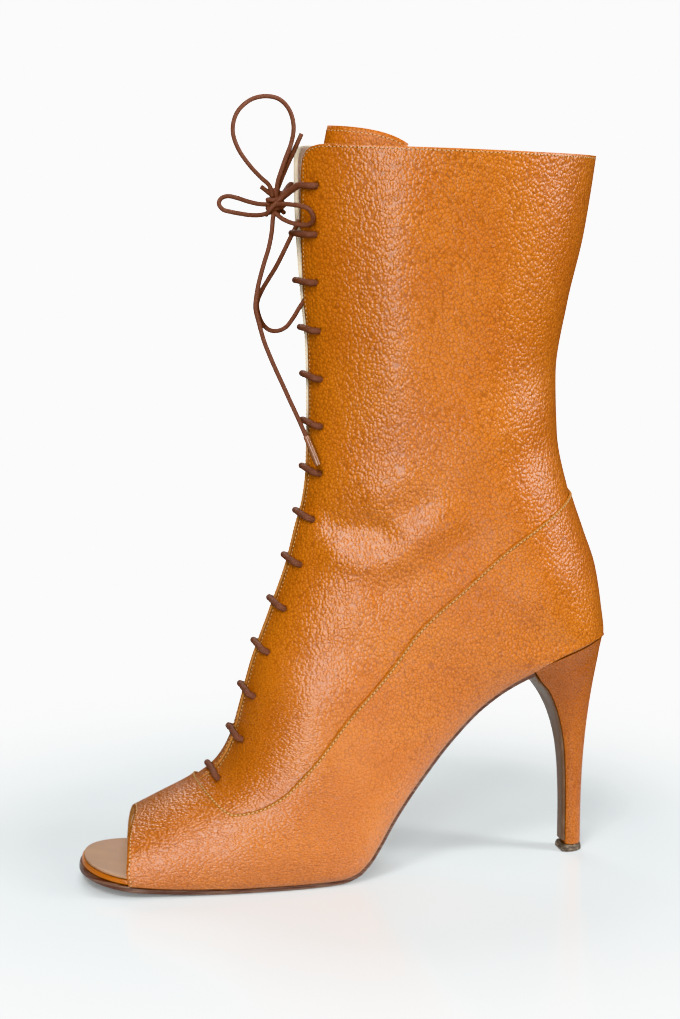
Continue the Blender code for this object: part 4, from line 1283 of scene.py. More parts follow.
@dataclass(frozen=True)
class Rubber(Finish):
    """Worn dark rubber of the heel tip."""

    name: str = "tip_rubber"
    base: Triple = (0.075, 0.055, 0.042)
    worn: Triple = (0.21, 0.17, 0.13)

    def wire(self, graph: Graph) -> bpy.types.Material:
        """Wire the wear.

        Args:
            graph: The new material.

        Returns:
            The material.
        """
        place = graph.spot()
        wear = graph.noise(graph.spot((1.0, 1.0, 2.2)), 1.6, 4.0)
        tone = graph.mix(graph.step(wear, 0.42, 0.68), self.base, self.worn)
        graph.bump(graph.sum(wear, graph.noise(place, 0.3, 2.0)), 0.15)
        return graph.dress(Base_Color=tone, Roughness=0.7)


@dataclass(frozen=True)
class ClearTip(Finish):
    """Glossy sleeve on the end of the lace, in the lace's own hue."""

    name: str = "clear_tip"
    base: Triple = (0.27, 0.13, 0.08)

    def wire(self, graph: Graph) -> bpy.types.Material:
        """Wire the sleeve.

        Args:
            graph: The new material.

        Returns:
            The material.
        """
        haze = graph.noise(graph.spot(), 1.2, 2.0)
        rough = graph.step(haze, 0.3, 0.7, 0.06, 0.16)
        return graph.dress(Base_Color=self.base, Roughness=rough, Coat_Weight=0.6)


@dataclass(frozen=True)
class Ground(Finish):
    """Pale, faintly glossy floor."""

    name: str = "pale_floor"
    base: Triple = (0.72, 0.80, 0.86)
    glow: Triple = (0.95, 0.98, 1.0)
    glow_strength: float = 0.15

    def wire(self, graph: Graph) -> bpy.types.Material:
        """Wire the floor.

        Args:
            graph: The new material.

        Returns:
            The material.
        """
        place = graph.spot()
        haze = graph.noise(place, 120.0, 2.0)
        rough = graph.step(haze, 0.3, 0.7, 0.13, 0.20)
        return graph.dress(
            Base_Color=self.base, Roughness=rough,
            Emission_Color=self.glow, Emission_Strength=self.glow_strength,
            Alpha=graph.near(place, (10.0, 30.0, 0.0), 120.0, 330.0),
        )


LEATHER = GrainLeather()
TONGUE_LEATHER = GrainLeather("tongue_leather", gloss=0.42, shine=0.6)
HEEL_LEATHER = GrainLeather(
    "heel_leather", (0.40, 0.104, 0.012), (0.15, 0.032, 0.005), (0.46, 0.132, 0.016), 0.95, 0.20, 0.36, 0.6
)
RAND_LEATHER = GrainLeather(
    "rand_leather", (0.50, 0.135, 0.008), (0.26, 0.06, 0.005), (0.56, 0.18, 0.016), 0.8, 0.06, 0.32, 0.7
)
LINING = Lining()
CUT_EDGE = CutEdge()
BINDING = CutEdge("seam_binding", (0.45, 0.185, 0.045), (0.32, 0.11, 0.018))
BREAST_COVER = SmoothCover()
SOCK_LEATHER = SmoothCover("sock_leather", (0.38, 0.215, 0.132), (0.49, 0.315, 0.21), 14.0, 0.5, 0.05)
TREAD_LEATHER = SmoothCover("tread_leather", (0.16, 0.10, 0.07), (0.30, 0.22, 0.17), 11.0, 0.55, 0.12)
SOLE_EDGE = StackedEdge()
LACE_CORD = Cord()
THREAD = Thread()
# Dark beads of painted shade, standing for the shade inside the needle holes
PINHOLE_SHADE = SmoothCover("needle_hole_shade", (0.09, 0.035, 0.010), (0.13, 0.05, 0.015), 2.0, 0.8, 0.02)
TIP_RUBBER = Rubber()
CLEAR_TIP = ClearTip()
GROUND = Ground()


def smooth_run(points: Sequence[Sequence[float]], pitch: float) -> np.ndarray:
    """Draw a smooth line through points.

    Args:
        points: Points in millimetres, with any further values after the three axes.
        pitch: Distance between the points of the line.

    Returns:
        The line's points.
    """
    knots = np.asarray(points, dtype=float)
    padded = np.concatenate([[2.0 * knots[0] - knots[1]], knots, [2.0 * knots[-1] - knots[-2]]])
    u = np.linspace(0.0, 1.0, 12, endpoint=False)[:, None]
    parts = []
    for a, b, c, d in zip(padded, padded[1:], padded[2:], padded[3:]):
        bend, twist = 2.0 * a - 5.0 * b + 4.0 * c - d, 3.0 * b - a - 3.0 * c + d
        parts.append(0.5 * (2.0 * b + (c - a) * u + bend * u ** 2 + twist * u ** 3))
    line = np.concatenate(parts + [knots[-1:]])
    run = running(line[:, :3])
    return read(line, run, np.linspace(0.0, run[-1], max(int(round(run[-1] / pitch)), 2) + 1))


def lay_tube(shape: Shape, line: np.ndarray, radius: float, sides: int) -> None:
    """Lay a round tube along a line, with a map that runs along it.

    Args:
        shape: The mesh that takes the tube.
        line: The line's points in millimetres.
        radius: The tube's radius in millimetres.
        sides: Number of sides.
    """
    heading = unit(np.gradient(line, axis=0))
    guide = np.cross(heading[0], (0.31, 0.87, 0.38))
    turn = np.linspace(0.0, 2.0 * math.pi, sides + 1)[:, None]
    rings = []
    for spot, ahead in zip(line, heading):
        guide = unit(guide - ahead * (guide @ ahead))
        rings.append(spot + radius * (np.cos(turn) * guide + np.sin(turn) * np.cross(ahead, guide)))
    chart = shape.loops.layers.uv.verify()
    run = running(line)
    made = lay_grid(shape, np.array(rings))
    order = {vert: divmod(k, sides + 1) for k, vert in enumerate(made)}
    for face in {face for vert in made for face in vert.link_faces}:
        for loop in face.loops:
            i, j = order[loop.vert]
            loop[chart].uv = (run[i], j * 2.0 * math.pi * radius / sides)


def make_cord(
    name: str,
    lines: Sequence[np.ndarray],
    radius: float,
    replaces: Sequence[str] = (),
    finish: Finish = LACE_CORD,
    sides: int = 12,
) -> bpy.types.Object:
    """Make a piece of lace.

    Args:
        name: The piece's name.
        lines: Centre lines of its runs in millimetres.
        radius: Its radius in millimetres.
        replaces: Nodes that it stands for.
        finish: Its finish.
        sides: Number of its sides.

    Returns:
        The piece.
    """
    shape = bmesh.new()
    for line in lines:
        lay_tube(shape, line, radius, sides)
    close_ends(shape)
    sharpen(shape, SOFT_ANGLE)
    return settle(name, shape, [finish], replaces)


@dataclass
class Seams:
    """All rows of stitches, with dark beads between them that paint the shade of the needle holes."""

    pitch: float = 1.75
    thread: Triple = (0.55, 0.19, 0.15)
    prick: Triple = (0.27, 0.24, 0.11)
    sink: float = 0.02
    prick_sink: float = 0.03
    slant: float = 0.12
    steps: tuple[float, ...] = (-0.3, 0.0, 0.3, 0.5)
    group: int = 1200
    round_angle: float = 180.0
    rows: list = field(default_factory=list)

    def add(self, line: np.ndarray, normals: np.ndarray) -> None:
        """Plan a row.

        Args:
            line: Points of the row in millimetres.
            normals: Outward normals along it.
        """
        self.rows.append((line, normals))

    def build(self) -> None:
        """Make the stitches and the painted-shade beads of the needle holes of every row."""
        stitches, holes = bmesh.new(), bmesh.new()
        for line, normals in self.rows:
            run = running(line)
            count = max(int(run[-1] / self.pitch), 1)
            pitch = run[-1] / count
            threads, pricks = bmesh.new(), bmesh.new()
            for k in range(count):
                middle = k + 0.5
                first, centre, last, gap = (read(line, run, (middle + step) * pitch) for step in self.steps)
                ahead = unit(last - first)
                normal = read(normals, run, middle * pitch)
                normal = unit(normal - ahead * (normal @ ahead))
                aside = np.cross(normal, ahead)
                tilt = unit(ahead + aside * self.slant)
                self.bead(threads, centre + normal * self.sink, tilt, aside, normal, self.thread)
                # A dark bead of painted shade sunk at each needle hole
                self.bead(pricks, gap - normal * self.prick_sink, ahead, aside, normal, self.prick)
                if len(threads.verts) > self.group or k + 1 == count:
                    self.gather(stitches, threads)
                    self.gather(holes, pricks)
            threads.free()
            pricks.free()
        for shape, name, finish in ((stitches, "stitches", THREAD), (holes, "needle_hole_shades", PINHOLE_SHADE)):
            sharpen(shape, self.round_angle)
            settle(name, shape, [finish])

    def gather(self, whole: Shape, group: Shape) -> None:
        """Move a small group of beads into the whole and empty it.

        Args:
            whole: The mesh of all beads.
            group: The group.
        """
        mesh = bpy.data.meshes.new("beads")
        group.to_mesh(mesh)
        whole.from_mesh(mesh)
        bpy.data.meshes.remove(mesh)
        group.clear()

    def bead(
        self,
        shape: Shape,
        centre: np.ndarray,
        ahead: np.ndarray,
        aside: np.ndarray,
        normal: np.ndarray,
        half: Triple,
    ) -> None:
        """Add one bead of thread.

        Args:
            shape: The mesh that takes it.
            centre: Its middle in millimetres.
            ahead: Direction of the row.
            aside: Direction across the row.
            normal: Direction out of the leather.
            half: Half sizes along the three directions.
        """
        axes = np.stack([ahead * half[0], aside * half[1], normal * half[2]], axis=1) * MM
        matrix = Matrix.Translation(Vector(placed(centre))) @ Matrix(axes.tolist()).to_4x4()
        bmesh.ops.create_uvsphere(shape, u_segments=6, v_segments=5, radius=1.0, matrix=matrix)


@dataclass
class Upper:
    """The hollow upper: two quarters that meet at the back, and the lower panel sewn over them."""

    last: Last
    creases: Creases
    seams: Seams
    wall: float = 1.9
    panel_rise: float = 0.9
    panel_thickness: float = 0.75
    row_pitch: float = 1.05
    fine_pitch: float = 0.9
    fine_columns: int = 16
    far_columns: int = 44
    collar_corner: float = 13.0
    hole_inset: float = 9.0
    hole_radius: float = 1.45
    lace_rows: int = 14
    lace_first: float = 8.0
    lace_last: float = 16.5
    panel_start: float = 1.985
    panel_blend: float = 2.75
    panel_columns: int = 44
    panel_pitch: float = 1.5
    toe_pitch: float = 1.2
    corner_rows: int = 18
    binding_pitch: float = 0.7
    panel_edge_rise: float = 0.5
    panel_edge_run: float = 0.9
    panel_foot_run: float = 1.5
    panel_first: tuple[float, ...] = (0.0, 0.4, 0.85, 1.4, 2.2)
    calm_gap: float = 3.0
    calm_run: float = 14.0
    stitch_start: float = 2.25
    binding: Profile = (
        (-0.62, -0.65), (-0.54, 0.02), (-0.30, 0.16), (0.0, 0.21), (0.30, 0.16), (0.54, 0.02), (0.62, -0.65),
    )

    def lace_positions(self) -> list[float]:
        """Give the rows of the lace holes.

        Returns:
            The row of every pair of holes, from the throat up.
        """
        rows = np.linspace(self.last.t_throat, self.last.t_collar, 160)
        run = self.last.edge_run(rows)
        wanted = np.linspace(self.lace_first, run[-1] - self.lace_last, self.lace_rows)
        return [float(t) for t in np.interp(wanted, run, rows)]

    def hole(self, t: float, side: Side) -> np.ndarray:
        """Give the middle of a lace hole."""
        return self.last.at(t, side, self.last.half_gap(t) + self.hole_inset)

    def place(self, t: float, side: Side, distance: np.ndarray) -> Pair:
        """Give plain points and normals along one row, drawn back to the toe's edge near it.

        Args:
            t: Row of the grid.
            side: Half of the boot.
            distance: Distances from the ridge.

        Returns:
            Points and normals.
        """
        last = self.last
        if t >= last.toe_blend:
            return last.at(t, side, distance), last.outward(t, side, distance)
        points, normals = [], []
        for share in distance / last.length(t, side):
            row = last.toe_row(t, side, share)
            spot = np.array([share * last.length(row, side)])
            points.append(last.at(row, side, spot)[0])
            normals.append(last.outward(row, side, spot)[0])
        return np.array(points), np.array(normals)

    def skin(self, t: float, side: Side, distance: np.ndarray, rise: np.ndarray) -> Pair:
        """Give the creased surface of the upper along one row.

        Args:
            t: Row of the section tables.
            side: Half of the boot.
            distance: Distances from the ridge.
            rise: Height over the shaft's surface.

        Returns:
            Points and normals.
        """
        points, normals = self.place(t, side, distance)
        calm = ease((distance - self.last.half_gap(t) - self.calm_gap) / self.calm_run)
        lift = self.creases.lift(points, side) * calm
        return points + normals * (rise + lift)[:, None], normals

    def quarter(self, side: Side, rows: np.ndarray) -> Pair:
        """Give the grid of one quarter.

        Args:
            side: Half of the boot.
            rows: Rows of the section tables.

        Returns:
            Points and normals by row and column.
        """
        inset = np.arange(self.fine_columns) * self.fine_pitch
        points, normals = [], []
        for t in rows:
            start, end = self.last.half_gap(t), self.last.length(t, side)
            reach = inset[-1] + self.fine_pitch
            far = start + reach + (end - start - reach) * np.linspace(0.0, 1.0, self.far_columns)
            distance = np.concatenate([start + inset, far])
            spots, facing = self.skin(t, side, distance, np.zeros_like(distance))
            points.append(spots)
            normals.append(facing)
        points, normals = np.array(points), np.array(normals)
        climb = np.clip(rows - self.last.t_collar + 1.0, 0.0, None)
        rise = float(self.last.front_z(self.last.t_collar) - self.last.front_z(self.last.t_collar - 1.0))
        for j, gap in enumerate(inset[inset < self.collar_corner]):
            dip = self.collar_corner - math.sqrt(self.collar_corner ** 2 - (self.collar_corner - gap) ** 2)
            moved = rows - dip / rise * climb ** 2
            points[:, j] = read(points[:, j], rows, moved)
        return points, normals

    def punch(self, shape: Shape) -> None:
        """Punch the lace holes.

        Args:
            shape: The quarters' mesh.
        """
        faces = list(shape.faces)
        tree = KDTree(len(faces))
        for k, face in enumerate(faces):
            tree.insert(face.calc_center_median(), k)
        tree.balance()
        radius = self.hole_radius * MM
        gone: set[int] = set()
        rims = []
        for t in self.lace_positions():
            for side in Side:
                centre = Vector(placed(self.hole(t, side)))
                near = [k for _, k, _ in tree.find_range(centre, radius)]
                gone.update(near)
                inside = {faces[k] for k in near}
                edge = {v for k in near for v in faces[k].verts if not set(v.link_faces) <= inside}
                rims.append((centre, edge))
        for centre, edge in rims:
            for vert in edge:
                away = vert.co - centre
                vert.co = centre + away * (radius / away.length)
        bmesh.ops.delete(shape, geom=[faces[k] for k in gone], context="FACES")

    def build_quarters(self) -> None:
        """Make the two quarters with their lining, and plan the stitches along their edges."""
        rows = self.last.even_rows(0.0, self.last.t_collar, self.row_pitch)
        shape = bmesh.new()
        for side in Side:
            points, normals = self.quarter(side, rows)
            lay_grid(shape, points, side is Side.LATERAL)
            first = int(np.argmax(rows > self.stitch_start))
            edge = np.concatenate([points[first:-2, 2], points[-2, 3:]])
            facing = np.concatenate([normals[first:-2, 2], normals[-2, 3:]])
            self.seams.add(edge, facing)
        bmesh.ops.remove_doubles(shape, verts=shape.verts, dist=WELD)
        self.punch(shape)
        sharpen(shape, SOFT_ANGLE)
        piece = settle("upper_quarters", shape, [LEATHER, LINING, CUT_EDGE], ["upper"])
        thicken(piece, self.wall, 1, 2)

    def panel_edge(self, t: float, side: Side) -> float:
        """Give the distance of the panel's upper edge from the ridge, rounded at the throat.

        Args:
            t: Row of the section tables.
            side: Half of the boot.

        Returns:
            The distance.
        """
        if t <= self.panel_start:
            return 0.0
        seam = self.last.seam_distance(t, side)
        if t >= self.panel_blend:
            return seam
        share = (self.panel_blend - t) / (self.panel_blend - self.panel_start)
        return seam * math.sqrt(1.0 - share * share)

    def panel(self, side: Side, rows: np.ndarray) -> Pair:
        """Give the grid of one half of the panel.

        Args:
            side: Half of the boot.
            rows: Rows of the section tables.

        Returns:
            Points and normals by row and column.
        """
        first = np.array(self.panel_first)
        seat = float(self.last.back_z(self.last.t_heel))
        points, normals = [], []
        for t in rows:
            start, end = self.panel_edge(t, side), self.last.length(t, side)
            span = max(end - start, 0.02)
            near = first * min(span / 6.0, 1.0)
            far = near[-1] + (span - near[-1]) * np.linspace(0.0, 1.0, self.panel_columns)[1:]
            gap = np.concatenate([near, far])
            rise = np.full_like(gap, self.panel_rise)
            if t > self.panel_start:
                edge = np.sqrt(ease(gap / self.panel_edge_run))
                rise = self.panel_edge_rise + (self.panel_rise - self.panel_edge_rise) * edge
            above = max(float(self.last.back_z(t)) - seat, 0.0) if t > self.last.t_heel else 0.0
            low = np.clip(np.hypot(span - gap, above) / self.panel_foot_run, 0.0, 1.0)
            rise = rise * np.sqrt(1.0 - (1.0 - low) ** 2)
            spots, facing = self.skin(t, side, start + gap, rise)
            points.append(spots)
            normals.append(facing)
        return np.array(points), np.array(normals)

    def build_panel(self) -> None:
        """Make the lower panel and plan its stitches."""
        turn = np.linspace(0.0, QUARTER, self.corner_rows)[1:]
        corner = self.panel_blend - (self.panel_blend - self.panel_start) * np.cos(turn)
        rows = np.concatenate([
            self.last.even_rows(0.0, self.panel_start, self.toe_pitch),
            corner,
            self.last.even_rows(self.panel_blend, self.last.t_panel_end - 0.01, self.panel_pitch)[1:],
        ])
        shape = bmesh.new()
        edges = {}
        for side in Side:
            points, normals = self.panel(side, rows)
            lay_grid(shape, points, side is Side.LATERAL)
            first = int(np.argmax(rows > self.panel_start))
            edges[side] = (points[first:, 2], normals[first:, 2])
            self.seams.add(points[1, :-1], normals[1, :-1])
        bmesh.ops.remove_doubles(shape, verts=shape.verts, dist=WELD)
        sharpen(shape, FIRM_ANGLE)
        piece = settle("lower_panel", shape, [LEATHER, CUT_EDGE, CUT_EDGE])
        thicken(piece, self.panel_thickness, 2, 2)
        lateral, medial = edges[Side.LATERAL], edges[Side.MEDIAL]
        self.build_binding(*(np.concatenate([lateral[k][::-1], medial[k]]) for k in (0, 1)))

    def build_binding(self, line: np.ndarray, facing: np.ndarray) -> None:
        """Make the narrow folded edge along the panel's seam and plan the stitches on its crest.

        Args:
            line: Middle line of the edge in millimetres.
            facing: Normals along it.
        """
        both = smooth_run(np.concatenate([line, facing * 10.0], axis=1), self.binding_pitch)
        line, facing = both[:, :3], unit(both[:, 3:])
        across = unit(np.cross(facing, np.gradient(line, axis=0)))
        strip = [line + across * w + facing * h for w, h in self.binding]
        make_body("seam_binding", np.stack(strip, axis=1), SOFT_ANGLE, [BINDING], Slot.LEATHER)
        crest = line + facing * max(h for _, h in self.binding)
        self.seams.add(crest, facing)

    def build(self) -> None:
        """Make all of the upper."""
        self.build_quarters()
        self.build_panel()


@dataclass
class Tongue:
    """The tongue behind the lacing."""

    last: Last
    seams: Seams
    thickness: float = 1.6
    corner: float = 0.21
    start: float = 1.5
    end: float = 21.55
    pitch: float = 2.0
    across: int = 48

    def build(self) -> None:
        """Make the tongue with its lining and plan the stitches round its top."""
        half_width, depth = (Track(*columns(TONGUE, 0, k)) for k in (1, 2))
        rows = self.last.even_rows(self.start, self.end, self.pitch)
        shares = np.linspace(0.0, 1.0, self.across // 2 + 1)
        halves = {}
        for side in Side:
            grid, facing = [], []
            for t in rows:
                fall = self.corner * max(t - self.last.t_collar + 1.0, 0.0) ** 2
                row, row_facing = [], []
                for share in shares:
                    line = np.array([share * float(half_width(t))])
                    lower = t - fall * share ** 4
                    normal = self.last.outward(lower, side, line)[0]
                    row.append(self.last.at(lower, side, line)[0] - normal * float(depth(t)))
                    row_facing.append(normal)
                grid.append(row)
                facing.append(row_facing)
            halves[side] = (np.array(grid), np.array(facing))
        lateral, medial = halves[Side.LATERAL], halves[Side.MEDIAL]
        points, normals = (np.concatenate([medial[k][:, :0:-1], lateral[k]], axis=1) for k in (0, 1))
        shape = bmesh.new()
        lay_grid(shape, points)
        sharpen(shape, SOFT_ANGLE)
        piece = settle("tongue_leather", shape, [TONGUE_LEATHER, LINING, CUT_EDGE], ["tongue"])
        thicken(piece, self.thickness, 1, 2)
        self.seams.add(points[-2, 1:-1], normals[-2, 1:-1])


@dataclass
class Bottom:
    """The outsole, the breast cover, the wrapped insole and its sock."""

    last: Last
    gap: float = 0.3
    sole: float = 2.5
    shank: float = 2.1
    flap: float = 1.3
    board: float = 1.9
    sock: float = 1.0
    toe_inset: float = 0.6
    wall_inset: float = 2.6
    sock_inset: float = 0.7
    covered: dict = field(default_factory=lambda: {Side.LATERAL: -92.6, Side.MEDIAL: -85.8})
    covered_run: float = 1.8
    flap_side: float = 0.3
    tread_end: float = -8.0
    shank_start: float = 12.0
    rounding: Profile = ((0.30, 0.08), (0.06, 0.26), (0.0, 0.5), (0.06, 0.74), (0.30, 0.92))
    toe_steps: int = 26
    foot_steps: int = 90
    heel_steps: int = 18
    blunt: float = 0.015
    slab_columns: int = 13
    cover_columns: int = 9
    cover_upper: tuple[float, float, int] = (78.0, 60.0, 22)
    cover_lower: tuple[float, float, int] = (58.5, 4.8, 26)
    crown_fall: float = 0.35

    def stations(self, start: float, end: float, round_end: bool) -> np.ndarray:
        """Give stations along the foot, close together at the round ends.

        Args:
            start: First station.
            end: Last station.
            round_end: Whether the last station lies on the round heel.

        Returns:
            The stations.
        """
        toe, heel = EDGES[0][0], EDGES[-1][0]
        turn = np.linspace(self.blunt, 1.0, self.toe_steps) * QUARTER
        parts = [toe - (toe - start) * np.cos(turn)]
        parts.append(np.linspace(toe, heel if round_end else end, self.foot_steps)[1:])
        if round_end:
            turn = np.linspace(0.0, 1.0 - self.blunt, self.heel_steps) * QUARTER
            parts.append(heel + (end - heel) * np.sin(turn)[1:])
        return np.concatenate(parts)

    def slab(
        self, name: str, stations: np.ndarray, inset: float, low: float, high: float, **dress: object
    ) -> None:
        """Make a slab that follows the bed, with rounded edges.

        Args:
            name: The piece's name.
            stations: Stations along the foot.
            inset: Distance in from the sole's edge in the open toe, below zero for none.
            low: Height of its underside over the bed.
            high: Height of its top over the bed.
            dress: Finishes, slot and replaced nodes for the piece.
        """
        across = np.linspace(0.0, 1.0, self.slab_columns)
        rings = []
        for x in stations:
            a, b = (self.last.inset_edge(x, side, self.inset(x, side, inset)) for side in Side)
            bottom = low if inset >= 0.0 else -float(self.thickness(x))
            deep = high - bottom
            tight = min(0.35 * deep, 0.2 * (b - a))
            flat = b - a - 2.0 * tight
            outline = [(a + tight + flat * s, 0.0) for s in across]
            outline += [(b - tight * k, v) for k, v in self.rounding]
            outline += [(b - tight - flat * s, 1.0) for s in across]
            outline += [(a + tight * k, v) for k, v in reversed(self.rounding)]
            rings.append([self.last.bed_point(x, y, high - deep * v) for y, v in outline])
        if inset < 0.0:
            shift = self.mitre()
            rings[-1] = [self.last.bed_point(x, y, 0.0) + shift * v for y, v in outline]
        make_body(name, rings, FIRM_ANGLE, **dress)

    def inset(self, x: float, side: Side, toe: float) -> float:
        """Give how far a slab stays inside the sole's edge.

        Args:
            x: Station along the foot.
            side: Half of the boot.
            toe: Distance in the open toe, below zero for a slab that reaches the edge.

        Returns:
            The inset.
        """
        if toe < 0.0:
            return 0.0
        share = float(ease((x - self.covered[side]) / self.covered_run + 1.0))
        return toe + (self.wall_inset - self.toe_inset) * share

    def thickness(self, x: float) -> float:
        """Give the outsole's thickness at a station."""
        stations = [BED[0][0], self.tread_end, self.shank_start, BED[-1][0]]
        return float(Track(stations, [self.sole] * 2 + [self.shank] * 2)(x))

    def breast(self, z: float) -> tuple[float, float]:
        """Read the heel breast at a height.

        Args:
            z: The height.

        Returns:
            The breast's x and the cover's half width.
        """
        heights = columns(HEEL, 1)[0] + [float(self.last.bed_z(BREAST_X))]
        xs = columns(HEEL, 0)[0] + [BREAST_X]
        widths = [row[4] * BREAST_SHARE for row in HEEL] + [self.last.edge(BREAST_X, Side.MEDIAL)]
        return float(Track(heights, xs)(z)), float(Track(heights, widths)(z))

    def forward(self, z: float) -> np.ndarray:
        """Give the forward direction of the heel breast at a height."""
        run = self.breast(z + 0.5)[0] - self.breast(z - 0.5)[0]
        return np.array([-1.0, 0.0, run]) / math.hypot(run, 1.0)

    def mitre(self) -> np.ndarray:
        """Work out the corner where the sole turns down the heel breast.

        Returns:
            The step from the sole's top to its underside.
        """
        bend = BREAST_X - self.gap
        ahead = self.forward(float(self.last.bed_z(bend)) - 1.0)
        rows = np.array([self.last.bed_normal(bend), ahead[[0, 2]]])
        x, z = np.linalg.solve(rows, np.array([-self.shank, self.flap]))
        return np.array([x, 0.0, z])

    def build_cover(self) -> None:
        """Make the cover of the heel breast."""
        bend = BREAST_X - self.gap
        shares = np.linspace(-1.0, 1.0, self.cover_columns)
        half = self.last.edge(bend, Side.MEDIAL) * 0.97
        rear = [self.last.bed_point(bend, half * s, -0.15) for s in shares]
        rings = [rear + [spot + self.mitre() * 0.99 for spot in reversed(rear)]]
        for z in np.concatenate([np.linspace(*self.cover_upper), np.linspace(*self.cover_lower)]):
            x, half = self.breast(z)
            ahead = self.forward(z)
            rear = [np.array([x, (half - self.flap_side) * s, z]) + ahead * self.gap for s in shares]
            fall = 1.0 - self.crown_fall * shares ** 8
            crown = [spot + ahead * self.flap * share for share, spot in zip(fall, rear)]
            rings.append(rear + crown[::-1])
        make_body("breast_cover", rings, COVER_ANGLE, [BREAST_COVER], Slot.SOLE)

    def build(self) -> None:
        """Make the outsole, the breast cover, the insole board and the sock."""
        tip = self.last.toe_tip[0]
        end = self.last.heel_end - self.wall_inset
        self.slab(
            "outsole_leather", self.stations(tip, BREAST_X - self.gap, False), -1.0, 0.0, 0.0,
            finishes=[SOLE_EDGE, TREAD_LEATHER], slot=Slot.SOLE, replaces=["outsole"],
        )
        self.build_cover()
        low = self.gap
        high = low + self.board
        self.slab(
            "insole_rand", self.stations(tip + self.toe_inset, end, True), self.toe_inset, low, high,
            finishes=[RAND_LEATHER], slot=Slot.LEATHER, replaces=["insole_board"],
        )
        inset = self.toe_inset + self.sock_inset
        self.slab(
            "insole_lining", self.stations(tip + inset, end - self.sock_inset, True), inset,
            high + self.gap, high + self.gap + self.sock,
            finishes=[SOCK_LEATHER], slot=Slot.SOCK, replaces=["insole_sock"],
        )


@dataclass
class HeelBlock:
    """The covered stiletto heel and its rubber tip."""

    last: Last
    cheek_share: float = 0.45
    roundness: float = 2.5
    levels: int = 64
    around: int = 36
    cover: float = 1.3
    tip_flare: Profile = ((0.0, 0.15), (0.25, 0.5), (1.6, 0.45), (2.7, 0.1), (3.0, -0.15))

    def ring(self, values: Sequence[float]) -> np.ndarray:
        """Give a ring of the heel: straight at the breast, full in the cheeks, round at the back.

        Args:
            values: Breast x and z, back x and z, and half width.

        Returns:
            The ring's points.
        """
        breast_x, breast_z, back_x, back_z, half = values
        share = np.sin(np.linspace(0.0, 1.0, self.around) * QUARTER)
        cheek = np.minimum(share / self.cheek_share, 1.0)
        full = BREAST_SHARE + (1.0 - BREAST_SHARE) * cheek * (2.0 - cheek)
        y = half * full * np.sqrt(np.clip(1.0 - share ** self.roundness, 0.0, None))
        x = breast_x + (back_x - breast_x) * share
        z = breast_z + (back_z - breast_z) * share
        lateral = np.stack([x, -y, z], axis=1)
        medial = np.stack([x, y, z], axis=1)
        return np.concatenate([lateral, medial[-2::-1]])

    def seat(self) -> np.ndarray:
        """Work out the heel's seat under the upper.

        Returns:
            The seat's ring of points.
        """
        share = np.sin(np.linspace(0.0, 1.0, self.around) * QUARTER)
        xs = BREAST_X + (self.last.heel_end - BREAST_X) * share
        rings = [[self.last.bed_point(x, self.last.edge(x, side), 0.0) for x in xs] for side in Side]
        return np.concatenate([np.array(rings[0]), np.array(rings[1])[-2::-1]])

    def build(self) -> None:
        """Make the heel and its tip."""
        index = range(len(HEEL))
        tracks = [Track(index, values) for values in columns(HEEL, *range(5))]
        levels = np.linspace(0.0, len(HEEL) - 1.0, self.levels)
        rings = [self.ring([float(track(level)) for track in tracks]) for level in levels]
        top = self.seat()
        for share in np.linspace(0.0, 1.0, 6)[1:]:
            rings.append(rings[self.levels - 1] * (1.0 - share) + top * share)
        make_body("heel_cover", rings, HEEL_ANGLE, [HEEL_LEATHER], Slot.LEATHER, ["heel"])
        breast_x, _, back_x, _, half = HEEL[0]
        front = breast_x - self.cover
        rings = []
        for z, flare in self.tip_flare:
            rings.append(self.ring((front - flare, z, back_x + flare, z, half + flare)))
        make_body("heel_tip", rings, HEEL_ANGLE, [TIP_RUBBER], Slot.RUBBER, ["top_piece"])


class CordEnd(Enum):
    """How a free run of the lace ends."""

    INTO_BOOT = "object"
    BARE = "bare"
    TIPPED = "fitting"


